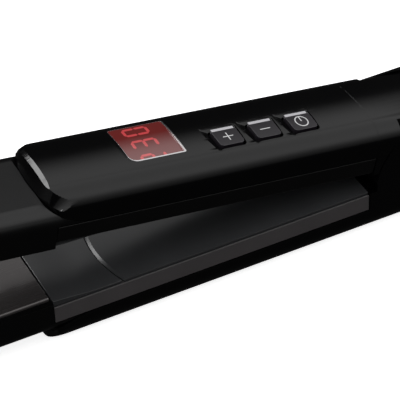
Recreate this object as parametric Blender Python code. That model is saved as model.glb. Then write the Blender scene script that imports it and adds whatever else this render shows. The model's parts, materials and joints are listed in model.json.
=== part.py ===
"""Hinged hair styler with two heated plates, a temperature display and three keys.

Frame: +X runs along the lower arm from the tip to the cord end, +Z is up.
The lower arm lies flat on its outer face and the upper arm stands open on its spring.
Each arm is drawn in its own frame: x = -u, where u is the distance from the hinge axis
towards the tip, y = v across the arm, and z = w outwards from the plane where the plates meet.
All sizes below are in millimetres and become metres when a mesh is made.
"""
import math

import bmesh
import bpy
from mathutils import Matrix, Vector

MM = 0.001

# ---------- driving sizes ----------
GAP = 0.3                # clearance between neighbouring pieces
OPEN_DEG = 8.7           # how far the upper arm stands open

ARM_HALF = 15.2          # half the width of an arm
ARM_TOP = 17.6           # plate plane to the outer face of the handle
SHOULDER = 7.0           # radius of the handle's long outer edges
SEAM_W = 8.2             # plate plane to the lower edge of the handle cover
FACE_W = 2.0             # plate plane to the inner face of the handle
EDGE_W = 0.9             # plate plane to the inner edge of the plate housing
WALL = 1.8               # wall of covers, trays and housings
LEAN = 0.4               # how far a tray's side leans in at its inner face
CROWN = 0.6              # rise of the upper cover's top from its shoulders to the middle
RIM_DROP = 0.7           # the tray's rim lies this far outside the inner face
PANEL_HALF = 14.1        # half the width of the inner panel and the bridge
PANEL_THICK = 1.0

NECK_LAP = 2.0           # length of the neck beyond the drum's clearance
RING_U = 101.4           # hinge axis to the middle of the tray's curved end
RING_BOW = 3.0           # how far that curved end bows towards the tip
PLATE_U = 120.5          # hinge axis to the rear end of the plates
PLATE_LEN = 116.0        # length of a heated plate
TIP_CAP_LEN = 8.5        # length of the tip cap
TIP_TURN = 86            # degrees of its rounding
TIP_SHRINK = 0.55        # shrink of its section at the very end, as a share of its length
TIP_LIFT = 0.25          # rise of its inner edge as a share of that shrink
TIP_SLIM = 0.45          # loss of its edge radius as a share of that shrink
END_CLEAR = 1.5          # plate's end to the housing's end
RISE_LEN = 14.0          # length over which the bridge rises to the plate
RISE_STEPS = 10
COVER_U = 123.5          # hinge axis to the foot of the handle cover's front wall
COVER_RAKE = 2.1         # how far that wall leans back
FOOT_DEPTH = 6.0         # how far the wall's foot curves back at its sides
RIM_DEPTH = 40.0         # how far the plan of its rim, were it flat, would curve back there
RIM_POWER = 10           # power of that curve; a higher one is squarer
CLIMB_U = 103.5          # where the cover's lower edge starts to climb
CLIMB_ROUND = 27.4       # radius of the arc that it climbs along

HOUSING_TOP = 12.8       # plate plane to the outer face of the plate housing
HOUSING_ROUND = 5.5      # radius of the housing's long outer edges

PLATE_HALF = 13.0        # half the width of a heated plate
PLATE_FACE = 0.25        # plate plane to the face of a plate
PLATE_THICK = 1.9
PLATE_TRAVEL = 0.8       # how far a plate sinks on its pads
RIB_HALF = 6.2           # half the distance over the ribs under a plate
RIB_TALL = 2.6
RIB_THICK = 1.2

HEATER_HALF = 4.4
HEATER_THICK = 1.3
HEATER_MARGIN = 16.0     # end of a plate to the end of its heater
CLAMP_THICK = 0.8
PAD_LEN = 9.0
PAD_CORNER = 1.0
PAD_INSET = 8.0          # end of a heater to the middle of a pad
SENSOR_RADIUS = 0.9
SENSOR_LEN = 5.0
BEAD_END = 0.35          # radius of the closed ends of a bead
BEAD_ROUND = 0.6         # length over which a bead narrows to them

HINGE_RADIUS = ARM_TOP   # the hinge drum and cheeks are as deep as an arm
DRUM_HALF = 10.2         # half the length of the drum on the upper arm
PIN_RADIUS = 2.2
PIN_FIT = 0.2            # clearance round the pin
NECK_SHARE = 0.68        # start of the full-width neck as a share of the drum's radius
DRUM_CLEAR = 0.4
CAP_RADIUS = 6.0
CAP_THICK = 1.2
SPRING_WIRE = 0.6
SPRING_RADIUS = 4.6
SPRING_TURNS = 6
SPRING_HALF = 6.0
TONGUE_LEN = 15.0
TONGUE_HALF = 8.5
TONGUE_THICK = 3.0

TAIL_LEN = 9.0           # length of the tail boss behind the drum
TAIL_RADIUS = 10.5
TAIL_WIDE = 14.8         # half the width of the tail at the hinge axis
TAIL_TALL = 14.0         # half its height there
TAIL_ROUND = 6.0         # its edge radius there
TAIL_STEPS = 8
SWIVEL_SHAFT = 6.0
SWIVEL_FLANGE = 7.6
SWIVEL_FLANGE_LEN = 2.4
SWIVEL_COLLAR = 8.4
SWIVEL_COLLAR_LEN = 9.0
SWIVEL_MOUTH = 5.4
CORD_BORE = 3.2

WINDOW_U = 86.8          # hinge axis to the middle of the display window
WINDOW_LEN = 16.3
WINDOW_WIDE = 14.8
WINDOW_V = 1.9           # the window's offset to the far side
WINDOW_CORNER = 1.4
WINDOW_THICK = 1.7
WINDOW_SUNK = 0.1        # the window's face below the cover's
BEZEL_WIDE = 0.7
DISPLAY_LEN = 14.0
DISPLAY_WIDE = 10.4
DISPLAY_TALL = 3.4

KEY_U = 64.3             # hinge axis to the middle of the first key
KEY_PITCH = 11.9
KEY_NAMES = ("plus_button", "minus_button", "power_button")
KEY_V = -3.6             # the key row's offset to the near side
KEY_WIDE = 7.6
KEY_CORNER = 0.8
KEY_PROUD = 0.5
KEY_TRAVEL = 0.5
KEY_FIT = 0.35
KEY_SKIRT = 2.9          # height of a key below the handle's outer face
KEY_STEM = 1.3           # half the width of a key's stem
KEY_WALL = 1.2
KEY_ROOF = 1.0           # handle's outer face to the roof of the well under a key
KEY_LAP = 0.2            # how far the stem runs into that roof
KEY_EASE = 0.35          # slope round a key's face
KEY_SLACK = 0.1          # a fully pressed key's stem to its pressed switch

BOARD_W = 8.9
BOARD_THICK = 1.4
BOARD_HALF = 12.4
BOARD_GAP = 17.0         # neck to the rear end of a board
BOARD_END = 98.0
BOSS_RADIUS = 2.6
POST_INSET = 3.4         # board end to the middle of a board post
SWITCH_WIDE = 5.8
SWITCH_BODY = 1.8
SWITCH_BUTTON = 1.3
SWITCH_NUB = 1.6         # radius of a switch's own button

SCREW_RADIUS = 1.25
SCREW_HEAD = 2.4
SCREW_HEAD_TALL = 1.1
SCREW_V = 5.0
SCREW_BACK = 7.5         # neck to the middle of a screw
SCREW_LEN = 4.2
SCREW_SINK = 0.15        # floor of the tray to the top of a screw
SLOT_HALF = 1.3          # half the length of a screw's slot
SLOT_WIDE = 0.6
SLOT_DEEP = 0.5
STEP_RISE = 0.02         # height of a step between two radii

SOLDER = 0.1             # a part stands this far off its board
RELAY_START = 6.0        # board's rear end to the relay
RELAY_SIDE = 1.0         # middle line to the relay
RELAY_LEN = 18.0
RELAY_WIDE = 8.0
RELAY_TALL = 3.6
CAPACITOR_RADIUS = 2.1
CAPACITOR_LEN = 13.0
CAPACITOR_START = 30.0   # board's rear end to the capacitor
CAPACITOR_V = 4.0
FUSE_RADIUS = 1.5
FUSE_LEN = 9.0
LEAD_RADIUS = 0.7
LEAD_V = 2.4
LEAD_DROP = 1.2          # inner face of a board to the middle of a lead
LEAD_SIDES = 10
LEAD_STEPS = 8

OVERCUT = 1.1            # a cutter runs past what it cuts by this share
FRONT_MARGIN = 0.1       # the plan that shapes a cover's front is this much wider than it
RIM_REACH = 1.2          # that plan's top lies this far up, as a share of the wall's height
CROWN_STEPS = 10         # facets across a crowned top
ROUND = 32               # sides of a large round
SMALL_ROUND = 20         # sides of a small round

# ---------- sizes worked out from the driving ones ----------
NECK_U = HINGE_RADIUS + DRUM_CLEAR + NECK_LAP
NECK_START = HINGE_RADIUS * NECK_SHARE
BOARD_START = NECK_U + BOARD_GAP
SCREW_U = NECK_U + SCREW_BACK
FLOOR_W = FACE_W + PANEL_THICK + GAP
TONGUE_W = FLOOR_W + WALL + GAP
TAIL_BACK = HINGE_RADIUS + DRUM_CLEAR + TAIL_LEN
HEATER_LEN = PLATE_LEN - 2 * HEATER_MARGIN
PAD_SPREAD = HEATER_LEN / 2 - PAD_INSET
PLATE_END = PLATE_U + PLATE_LEN
HOUSING_END = PLATE_END + END_CLEAR
TIP_U = HOUSING_END + GAP + TIP_CAP_LEN
TAIL_END = TAIL_BACK + GAP + SWIVEL_COLLAR_LEN
HINGE_X = (TIP_U - TAIL_END) / 2
CAVITY_HALF = ARM_HALF - WALL
CHEEK_INNER = DRUM_HALF + DRUM_CLEAR
PLATE_BACK = PLATE_FACE + PLATE_THICK
HEATER_W = PLATE_BACK + 0.1
CLAMP_W = HEATER_W + HEATER_THICK + 0.1
PAD_W = CLAMP_W + CLAMP_THICK + 0.1
ROOF_W = HOUSING_TOP - WALL
PLATE_MID = PLATE_U + PLATE_LEN / 2
CLIMB_RISE = HOUSING_TOP + GAP - SEAM_W
CLIMB_LEN = math.sqrt(CLIMB_ROUND ** 2 - (CLIMB_ROUND - CLIMB_RISE) ** 2)
ON_BOARD = BOARD_W + BOARD_THICK + SOLDER
FLANGE_U = HINGE_RADIUS + DRUM_CLEAR + GAP


# ---------- materials ----------
def material(name, colour, rough, metal=0.0, glow=0.0):
    mat = bpy.data.materials.new(name)
    mat.use_nodes = True
    shader = mat.node_tree.nodes["Principled BSDF"]
    shader.inputs["Base Color"].default_value = (*colour, 1.0)
    shader.inputs["Roughness"].default_value = rough
    shader.inputs["Metallic"].default_value = metal
    if glow:
        shader.inputs["Emission Color"].default_value = (*colour, 1.0)
        shader.inputs["Emission Strength"].default_value = glow
    mat.diffuse_color = (*colour, 1.0)
    return mat


# ---------- mesh helpers ----------
def finish_mesh(name, bm, side, mat, parent, place=(0.0, 0.0, 0.0)):
    """Make an object from a mesh drawn in millimetres; side -1 mirrors it to the lower arm."""
    bmesh.ops.scale(bm, vec=Vector((MM, MM, MM * side)), verts=bm.verts)
    bmesh.ops.recalc_face_normals(bm, faces=bm.faces)
    mesh = bpy.data.meshes.new(name)
    bm.to_mesh(mesh)
    bm.free()
    obj = bpy.data.objects.new(name, mesh)
    bpy.context.scene.collection.objects.link(obj)
    obj.parent = parent
    obj.location = (place[0] * MM, place[1] * MM, place[2] * MM * side)
    if mat is not None:
        mesh.materials.append(mat)
    return obj


def stacked(rings):
    """A closed solid through rings with equal numbers of points."""
    bm = bmesh.new()
    loops = [[bm.verts.new(p) for p in ring] for ring in rings]
    count = len(rings[0])
    for low, high in zip(loops, loops[1:]):
        for k in range(count):
            n = (k + 1) % count
            bm.faces.new((low[k], low[n], high[n], high[k]))
    bm.faces.new(list(reversed(loops[0])))
    bm.faces.new(loops[-1])
    return bm


def box(u0, u1, v0, v1, w0, w1):
    """A box between two distances from the hinge, two offsets and two heights."""
    ring = [(-u1, v0), (-u0, v0), (-u0, v1), (-u1, v1)]
    return stacked([[(x, y, w) for x, y in ring] for w in (w0, w1)])


def round_along_y(radius, v0, v1, u=0.0, w=0.0, sides=ROUND):
    points = [(-u + radius * math.cos(a), w + radius * math.sin(a)) for a in turn(sides)]
    return stacked([[(x, v, z) for x, z in points] for v in (v0, v1)])


def round_along_x(stations, v=0.0, w=0.0, sides=ROUND):
    """A turned solid about an axis along the arm, from (u, radius) stations."""
    return stacked([[(-u, v + r * math.cos(a), w + r * math.sin(a)) for a in turn(sides)]
                    for u, r in stations])


def round_along_z(stations, u, v, sides=SMALL_ROUND):
    """A turned solid about an axis square to the arm, from (w, radius) stations."""
    return stacked([[(-u + r * math.cos(a), v + r * math.sin(a), w) for a in turn(sides)]
                    for w, r in stations])


def turn(sides):
    return [2 * math.pi * k / sides for k in range(sides)]


def arc(cx, cy, radius, a0, a1, steps):
    return [(cx + radius * math.cos(math.radians(a0 + (a1 - a0) * k / steps)),
             cy + radius * math.sin(math.radians(a0 + (a1 - a0) * k / steps)))
            for k in range(steps + 1)]


def rounded_rect(x0, x1, y0, y1, corner, steps=4):
    return (arc(x1 - corner, y1 - corner, corner, 0, 90, steps)
            + arc(x0 + corner, y1 - corner, corner, 90, 180, steps)
            + arc(x0 + corner, y0 + corner, corner, 180, 270, steps)
            + arc(x1 - corner, y0 + corner, corner, 270, 360, steps))


def along_arm(section, u0, u1):
    """A section of (v, w) points drawn out along the arm."""
    return stacked([[(-u, v, w) for v, w in section] for u in (u0, u1)])


def across_arm(profile, half):
    """A side profile of (u, w) points drawn out across the arm."""
    return stacked([[(-u, v, w) for u, w in profile] for v in (-half, half)])


def dome_section(half, low, top, radius, crown=0.0, steps=7):
    """A section with a flat foot, upright sides, rounded upper edges and a crowned top."""
    flat = half - radius
    centre = top - crown - radius
    points = [(-half, low), (half, low)] + arc(flat, centre, radius, 0, 90, steps)
    if crown:
        for k in range(1, CROWN_STEPS):
            v = flat * (1 - 2 * k / CROWN_STEPS)
            points.append((v, top - crown * (v / flat) ** 2))
    return points + arc(-flat, centre, radius, 90, 180, steps)


def front_plan(u_rear, u_front, half, fall, steps=22):
    """A plan outline that is square at the rear and falls back at both sides of its front."""
    points = [(-u_rear, -half), (-u_rear, half)]
    for k in range(steps + 1):
        share = math.cos(math.pi * k / steps)
        points.append((-(u_front - fall(abs(share))), half * share))
    return points


def foot_fall(share):
    return FOOT_DEPTH * (1 - math.sqrt(max(1 - share ** 2, 0.0)))


def rim_fall(share):
    return RIM_DEPTH * share ** RIM_POWER


def bowed_end(u_near, u_middle, bow, half, steps=12):
    """A plan outline with a straight end at u_near and an end that bows to u_middle."""
    curve = []
    for k in range(steps + 1):
        v = half * (1 - 2 * k / steps)
        curve.append((-(u_middle - bow * (v / half) ** 2), v))
    return [(-u_near, -half), (-u_near, half)] + curve


def upright(outline, w0, w1):
    return stacked([[(x, y, w) for x, y in outline] for w in (w0, w1)])


# ---------- Boolean steps ----------
def change(obj, bm, side, how="DIFFERENCE"):
    """Cut, join or clip an object with a helper solid that is drawn in the same frame."""
    tool = finish_mesh(obj.name + "_tool", bm, side, None, obj.parent, obj_place(obj, side))
    tool.hide_render = True
    tool.display_type = "WIRE"
    step = obj.modifiers.new(how.lower(), "BOOLEAN")
    step.operation = how
    step.solver = "EXACT"
    step.object = tool
    return obj


def obj_place(obj, side):
    x, y, z = obj.location
    return (x / MM, y / MM, z / MM * side)


def cut(obj, bm, side):
    return change(obj, bm, side, "DIFFERENCE")


def join(obj, bm, side):
    return change(obj, bm, side, "UNION")


def clip(obj, bm, side):
    return change(obj, bm, side, "INTERSECT")


def smooth(obj, degrees=32):
    """Shade a round piece smooth, with its real edges kept sharp."""
    obj.data.shade_smooth()
    obj.data.set_sharp_from_angle(angle=math.radians(degrees))
    return obj


# ---------- handle ----------
def climb(u, lift=0.0):
    """Height of the cover's lower edge at a distance from the hinge."""
    run = min(max(u - CLIMB_U, 0.0), CLIMB_LEN)
    return SEAM_W + lift + CLIMB_ROUND - math.sqrt(CLIMB_ROUND ** 2 - run ** 2)


def climb_points(lift, steps=10):
    return [(CLIMB_U + CLIMB_LEN * k / steps, climb(CLIMB_U + CLIMB_LEN * k / steps, lift))
            for k in range(steps + 1)]


def cover(name, side, mat, parent, crown):
    """The outer shell of a handle; a crown makes its top rise in the middle."""
    section = dome_section(ARM_HALF, SEAM_W, ARM_TOP, SHOULDER, crown)
    obj = finish_mesh(name, along_arm(section, NECK_U, COVER_U + 5), side, mat, parent)
    half = ARM_HALF + FRONT_MARGIN
    foot = front_plan(NECK_U - 5, COVER_U, half, foot_fall)
    rim = front_plan(NECK_U - 5, COVER_U - COVER_RAKE, half, rim_fall)
    rings = [[(x, y, w) for x, y in foot] for w in (SEAM_W - 5, HOUSING_TOP)]
    rings.append([(a[0] + (b[0] - a[0]) * RIM_REACH, a[1],
                   HOUSING_TOP + (ARM_TOP - HOUSING_TOP) * RIM_REACH) for a, b in zip(foot, rim)])
    clip(obj, stacked(rings), side)
    inner = dome_section(CAVITY_HALF, SEAM_W - 1, ARM_TOP - WALL, SHOULDER - WALL, crown)
    cut(obj, along_arm(inner, NECK_U - 1, COVER_U - COVER_RAKE - 2 * WALL), side)
    under = [(CLIMB_U - 4, SEAM_W - 4)] + [(CLIMB_U - 4, SEAM_W)]
    under += climb_points(0.0)
    under += [(COVER_U + 6, HOUSING_TOP + GAP), (COVER_U + 6, SEAM_W - 4)]
    cut(obj, across_arm(under, ARM_HALF + 3), side)
    return obj


def tray(name, side, mat, parent):
    """The inner shell of a handle: a tray whose low rim frames the inner panel and the bridge."""
    rim = FACE_W + RIM_DROP
    lip = PANEL_HALF + GAP
    section = [(-ARM_HALF, SEAM_W - GAP), (-ARM_HALF + LEAN, rim),
               (-lip, rim), (-lip, FLOOR_W), (lip, FLOOR_W), (lip, rim),
               (ARM_HALF - LEAN, rim), (ARM_HALF, SEAM_W - GAP),
               (CAVITY_HALF, SEAM_W - GAP), (CAVITY_HALF, FLOOR_W + WALL),
               (-CAVITY_HALF, FLOOR_W + WALL), (-CAVITY_HALF, SEAM_W - GAP)]
    obj = finish_mesh(name, along_arm(section, NECK_U, PLATE_U - GAP), side, mat, parent)
    for u in (BOARD_START + POST_INSET, BOARD_END - POST_INSET):
        post = round_along_z([(FLOOR_W + WALL / 2, BOSS_RADIUS), (BOARD_W - GAP / 2, BOSS_RADIUS)],
                             u, 0.0)
        join(obj, post, side)
    for v in (-SCREW_V, SCREW_V):
        hole = [(FACE_W - 1, SCREW_HEAD + PIN_FIT), (FLOOR_W + SCREW_HEAD_TALL, SCREW_HEAD + PIN_FIT),
                (FLOOR_W + SCREW_HEAD_TALL, SCREW_RADIUS + PIN_FIT),
                (FLOOR_W + WALL + 1, SCREW_RADIUS + PIN_FIT)]
        cut(obj, stepped_hole(hole, SCREW_U, v), side)
    return obj


def stepped_hole(stations, u, v):
    """A stepped hole, with the two radii of a step a hair apart in height."""
    spread = []
    for k, (w, r) in enumerate(stations):
        same = k and stations[k - 1][0] == w
        spread.append((w + STEP_RISE if same else w, r))
    return round_along_z(spread, u, v)


def panel(name, side, mat, parent):
    """The flat inner face of a handle, with a front end that bows towards the tip."""
    plan = bowed_end(NECK_U, RING_U, RING_BOW, PANEL_HALF)
    return finish_mesh(name, upright(plan, FACE_W, FACE_W + PANEL_THICK), side, mat, parent)


def bridge(name, side, mat, parent):
    """The piece between the panel and the plate, rising to the level of the plate."""
    start = RING_U - RING_BOW - 1
    end = PLATE_U - GAP
    profile = [(start, FACE_W)]
    for k in range(RISE_STEPS + 1):
        t = k / RISE_STEPS
        profile.append((end - RISE_LEN * (1 - t),
                        FACE_W + (EDGE_W - FACE_W) * t * t * (3 - 2 * t)))
    profile += [(end, FACE_W + PANEL_THICK), (start, FACE_W + PANEL_THICK)]
    obj = finish_mesh(name, across_arm(profile, PANEL_HALF), side, mat, parent)
    rear = bowed_end(NECK_U, RING_U + GAP, RING_BOW, PANEL_HALF)
    cut(obj, upright([(x, y * OVERCUT) for x, y in rear], EDGE_W - 4, SEAM_W + 4), side)
    return obj


# ---------- plate end ----------
def housing(name, side, mat, parent):
    """The channel that holds a plate and its heater."""
    section = dome_section(ARM_HALF, EDGE_W, HOUSING_TOP, HOUSING_ROUND)
    obj = finish_mesh(name, along_arm(section, CLIMB_U, HOUSING_END), side, mat, parent)
    lid = [(CLIMB_U - 2, HOUSING_TOP + 6), (CLIMB_U - 2, climb(CLIMB_U) - GAP)]
    lid += climb_points(-GAP)[1:-1]
    lid += [(CLIMB_U + CLIMB_LEN, HOUSING_TOP), (CLIMB_U + CLIMB_LEN, HOUSING_TOP + 6)]
    cut(obj, across_arm(lid, ARM_HALF + 3), side)
    cut(obj, box(CLIMB_U - 3, PLATE_U, -ARM_HALF - 3, ARM_HALF + 3, EDGE_W - 3, SEAM_W), side)
    hollow = dome_section(PLATE_HALF + GAP, EDGE_W - 2, ROOF_W, HOUSING_ROUND - WALL)
    cut(obj, along_arm(hollow, CLIMB_U - 3, HOUSING_END + 3), side)
    return obj


def tip_cap(name, side, mat, parent):
    """The rounded end of an arm, with a plug that fits inside the housing."""
    start = HOUSING_END + GAP
    rings = []
    steps = 7
    for k in range(steps + 1):
        angle = math.radians(TIP_TURN * k / steps)
        u = start + TIP_CAP_LEN * math.sin(angle) / math.sin(math.radians(TIP_TURN))
        shrink = TIP_CAP_LEN * TIP_SHRINK * (1 - math.cos(angle))
        section = dome_section(ARM_HALF - shrink, EDGE_W + TIP_LIFT * shrink,
                               HOUSING_TOP - shrink, HOUSING_ROUND - TIP_SLIM * shrink)
        rings.append([(-u, v, w) for v, w in section])
    obj = finish_mesh(name, stacked(rings), side, mat, parent)
    plug = dome_section(PLATE_HALF - GAP, EDGE_W + 2.2, ROOF_W - GAP, HOUSING_ROUND - WALL - GAP)
    join(obj, along_arm(plug, PLATE_END + GAP, start + 2), side)
    return obj


def plate(name, side, mat, parent):
    """A heated plate with eased long edges and two ribs that hold the heater."""
    ease = 0.8
    half, back = PLATE_HALF, PLATE_BACK
    section = ([(half, back), (-half, back)]
               + arc(-half + ease, PLATE_FACE + ease, ease, 180, 270, 4)
               + arc(half - ease, PLATE_FACE + ease, ease, 270, 360, 4))
    obj = finish_mesh(name, along_arm(section, PLATE_U + GAP, PLATE_END), side, mat, parent)
    for s in (-1, 1):
        edges = sorted((s * RIB_HALF, s * (RIB_HALF - RIB_THICK)))
        rib = box(PLATE_U + 8, PLATE_END - 8, edges[0], edges[1], back - 0.5, back + RIB_TALL)
        join(obj, rib, side)
    return obj


def heater(name, side, mat, parent):
    start = PLATE_MID - HEATER_LEN / 2
    bar = box(start, start + HEATER_LEN, -HEATER_HALF, HEATER_HALF,
              HEATER_W, HEATER_W + HEATER_THICK)
    return finish_mesh(name, bar, side, mat, parent)


def heater_clamp(name, side, mat, parent):
    """A pressed strip that holds the heater against its plate."""
    start = PLATE_MID - HEATER_LEN / 2 - 2
    end = start + HEATER_LEN + 4
    strip = box(start, end, -HEATER_HALF, HEATER_HALF, CLAMP_W, CLAMP_W + CLAMP_THICK)
    obj = finish_mesh(name, strip, side, mat, parent)
    lip = box(start, end, -HEATER_HALF, HEATER_HALF, CLAMP_W, CLAMP_W + CLAMP_THICK + 1.2)
    join(obj, lip, side)
    groove = box(start - 2, end + 2, -HEATER_HALF + CLAMP_THICK, HEATER_HALF - CLAMP_THICK,
                 CLAMP_W + CLAMP_THICK, CLAMP_W + 6)
    cut(obj, groove, side)
    return obj


def pad(name, side, mat, parent, offset):
    """A springy silicone block between the heater clamp and the housing."""
    middle = PLATE_MID + offset
    half = HEATER_HALF - CLAMP_THICK - GAP
    rings = [[(-u, v, w) for u, v in rounded_rect(middle - PAD_LEN / 2, middle + PAD_LEN / 2,
                                                  -half, half, PAD_CORNER)]
             for w in (PAD_W, ROOF_W - 0.1)]
    return finish_mesh(name, stacked(rings), side, mat, parent)


def sensor(name, side, mat, parent):
    """The glass bead that measures a plate's temperature."""
    w = PLATE_BACK + 0.2 + SENSOR_RADIUS
    v = RIB_HALF + 1.0 + SENSOR_RADIUS
    bead = [(PLATE_MID, BEAD_END), (PLATE_MID + BEAD_ROUND, SENSOR_RADIUS),
            (PLATE_MID + SENSOR_LEN - BEAD_ROUND, SENSOR_RADIUS),
            (PLATE_MID + SENSOR_LEN, BEAD_END)]
    return finish_mesh(name, round_along_x(bead, v, w, SMALL_ROUND), side, mat, parent)


def thermal_fuse(name, side, mat, parent):
    w = PLATE_BACK + 0.3 + FUSE_RADIUS
    v = -(RIB_HALF + 1.2 + FUSE_RADIUS)
    can = [(PLATE_MID - FUSE_LEN, 0.5), (PLATE_MID - FUSE_LEN + 1, FUSE_RADIUS),
           (PLATE_MID, FUSE_RADIUS)]
    return finish_mesh(name, round_along_x(can, v, w, SMALL_ROUND), side, mat, parent)


def lead(name, side, mat, parent, v):
    """An insulated wire from the circuit board to the heater."""
    rear = BOARD_END + GAP
    front = PLATE_MID - HEATER_LEN / 2 - 2 - GAP
    low = PLATE_BACK + LEAD_RADIUS + PLATE_TRAVEL + GAP
    high = BOARD_W - LEAD_DROP
    route = [(rear, high)]
    for k in range(LEAD_STEPS + 1):
        t = k / LEAD_STEPS
        bend = PLATE_U + LEAD_RADIUS
        route.append((bend + (front - bend) * t, high + (low - high) * t * t * (3 - 2 * t)))
    rings = []
    for u, w in route:
        rings.append([(-u, v + LEAD_RADIUS * math.cos(a), w + LEAD_RADIUS * math.sin(a))
                      for a in turn(LEAD_SIDES)])
    return finish_mesh(name, stacked(rings), side, mat, parent)


# ---------- hinge ----------
def hinge_profile():
    """Side profile shared by the drum and the cheeks: a disc that runs on into the arm."""
    start = math.degrees(math.asin(FACE_W / HINGE_RADIUS))
    profile = arc(0.0, 0.0, HINGE_RADIUS, 90, 360 + start, 40)
    return profile + [(NECK_U - GAP, FACE_W), (NECK_U - GAP, ARM_TOP)]


def hinge_blank(name, side, mat, parent, section):
    """The hinge profile across the arm, clipped to a section and with a tongue for the screws."""
    obj = finish_mesh(name, across_arm(hinge_profile(), ARM_HALF), side, mat, parent)
    clip(obj, along_arm(section, -TAIL_BACK - 5, NECK_U + 5), side)
    tongue = box(NECK_U - 2, NECK_U + TONGUE_LEN, -TONGUE_HALF, TONGUE_HALF,
                 TONGUE_W, TONGUE_W + TONGUE_THICK)
    return join(obj, tongue, side)


def drum(name, side, mat, parent):
    """The neck of the upper arm, ending in the drum between the cheeks."""
    section = dome_section(ARM_HALF, -ARM_TOP - 1, ARM_TOP, SHOULDER, CROWN)
    obj = hinge_blank(name, side, mat, parent, section)
    room = HINGE_RADIUS + DRUM_CLEAR
    for s in (-1, 1):
        ends = sorted((s * DRUM_HALF, s * (ARM_HALF + 2)))
        cut(obj, round_along_y(room, ends[0], ends[1], sides=48), side)
        cut(obj, box(-room, NECK_START, ends[0], ends[1], -room, room), side)
    cut(obj, round_along_y(PIN_RADIUS + PIN_FIT, -DRUM_HALF - 2, DRUM_HALF + 2), side)
    space = SPRING_RADIUS + SPRING_WIRE + GAP
    cut(obj, round_along_y(space, -SPRING_HALF - 1, SPRING_HALF + 1), side)
    screw_pilots(obj, side)
    return obj


def tail():
    """The closed rear of the yoke, narrowing to a round boss for the cord swivel."""
    rings = []
    for k in range(TAIL_STEPS + 1):
        t = k / TAIL_STEPS
        ease = t * t * (3 - 2 * t)
        half = TAIL_WIDE + (TAIL_RADIUS - TAIL_WIDE) * ease
        tall = TAIL_TALL + (TAIL_RADIUS - TAIL_TALL) * ease
        corner = TAIL_ROUND + (TAIL_RADIUS - 0.01 - TAIL_ROUND) * ease
        rings.append([(TAIL_BACK * t, v, w)
                      for v, w in rounded_rect(-half, half, -tall, tall, corner, 8)])
    return stacked(rings)


def yoke(name, side, mat, parent):
    """The neck of the lower arm: two cheeks, and the tail that carries the cord swivel."""
    section = rounded_rect(-ARM_HALF, ARM_HALF, -ARM_TOP, ARM_TOP, SHOULDER, 7)
    obj = hinge_blank(name, side, mat, parent, section)
    join(obj, tail(), side)
    room = HINGE_RADIUS + DRUM_CLEAR
    cut(obj, round_along_y(room, -CHEEK_INNER, CHEEK_INNER, sides=48), side)
    cut(obj, round_along_y(PIN_RADIUS + PIN_FIT, -ARM_HALF - 2, ARM_HALF + 2), side)
    for s in (-1, 1):
        ends = sorted((s * (ARM_HALF - CAP_THICK), s * (ARM_HALF + 2)))
        cut(obj, round_along_y(CAP_RADIUS + PIN_FIT, ends[0], ends[1]), side)
    cut(obj, round_along_x([(-room + 3, SWIVEL_SHAFT + GAP), (-TAIL_BACK - 2, SWIVEL_SHAFT + GAP)]),
        side)
    seat = FLANGE_U + SWIVEL_FLANGE_LEN + GAP
    cut(obj, round_along_x([(-room + 3, SWIVEL_FLANGE + GAP), (-seat, SWIVEL_FLANGE + GAP)]), side)
    screw_pilots(obj, side)
    return obj


def screw_pilots(obj, side):
    for v in (-SCREW_V, SCREW_V):
        pilot = [(TONGUE_W - 2, SCREW_RADIUS + PIN_FIT / 2),
                 (TONGUE_W + TONGUE_THICK + 2, SCREW_RADIUS + PIN_FIT / 2)]
        cut(obj, round_along_z(pilot, SCREW_U, v), side)


def hinge_pin(name, mat, parent):
    half = ARM_HALF - CAP_THICK - PIN_FIT
    return finish_mesh(name, round_along_y(PIN_RADIUS, -half, half), 1, mat, parent)


def hinge_cap(name, mat, parent, s):
    ends = sorted((s * (ARM_HALF - CAP_THICK + PIN_FIT / 2), s * ARM_HALF))
    return finish_mesh(name, round_along_y(CAP_RADIUS, ends[0], ends[1]), 1, mat, parent)


def hinge_spring(name, mat, parent):
    """A coil round the pin that holds the arms open."""
    per_turn = 14
    count = SPRING_TURNS * per_turn
    rings = []
    for k in range(count + 1):
        a = 2 * math.pi * k / per_turn
        centre = Vector((SPRING_RADIUS * math.cos(a),
                         -SPRING_HALF + SPRING_WIRE + 2 * (SPRING_HALF - SPRING_WIRE) * k / count,
                         SPRING_RADIUS * math.sin(a)))
        out = Vector((math.cos(a), 0, math.sin(a)))
        side_way = Vector((0, 1, 0))
        rings.append([centre + SPRING_WIRE * (out * math.cos(b) + side_way * math.sin(b))
                      for b in turn(8)])
    return finish_mesh(name, stacked(rings), 1, mat, parent)


def swivel(name, mat, parent):
    """The turning sleeve where the cord goes in."""
    stations = [(-FLANGE_U, SWIVEL_FLANGE),
                (-(FLANGE_U + SWIVEL_FLANGE_LEN), SWIVEL_FLANGE),
                (-(FLANGE_U + SWIVEL_FLANGE_LEN), SWIVEL_SHAFT),
                (-(TAIL_BACK + GAP), SWIVEL_SHAFT),
                (-(TAIL_BACK + GAP), SWIVEL_COLLAR),
                (-(TAIL_BACK + GAP + 3), SWIVEL_COLLAR),
                (-(TAIL_END - 1), SWIVEL_MOUTH + 0.6),
                (-TAIL_END, SWIVEL_MOUTH)]
    obj = finish_mesh(name, round_along_x(stations), 1, mat, parent)
    bore = [(0, CORD_BORE), (-TAIL_END - 3, CORD_BORE)]
    cut(obj, round_along_x(bore, sides=24), 1)
    return obj


# ---------- display and keys ----------
def window_outline(grow):
    u0 = WINDOW_U - WINDOW_LEN / 2 - grow
    u1 = WINDOW_U + WINDOW_LEN / 2 + grow
    v0 = WINDOW_V - WINDOW_WIDE / 2 - grow
    v1 = WINDOW_V + WINDOW_WIDE / 2 + grow
    return rounded_rect(-u1, -u0, v0, v1, WINDOW_CORNER + grow, 5)


def key_place(k):
    return KEY_U - KEY_PITCH * k


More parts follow.
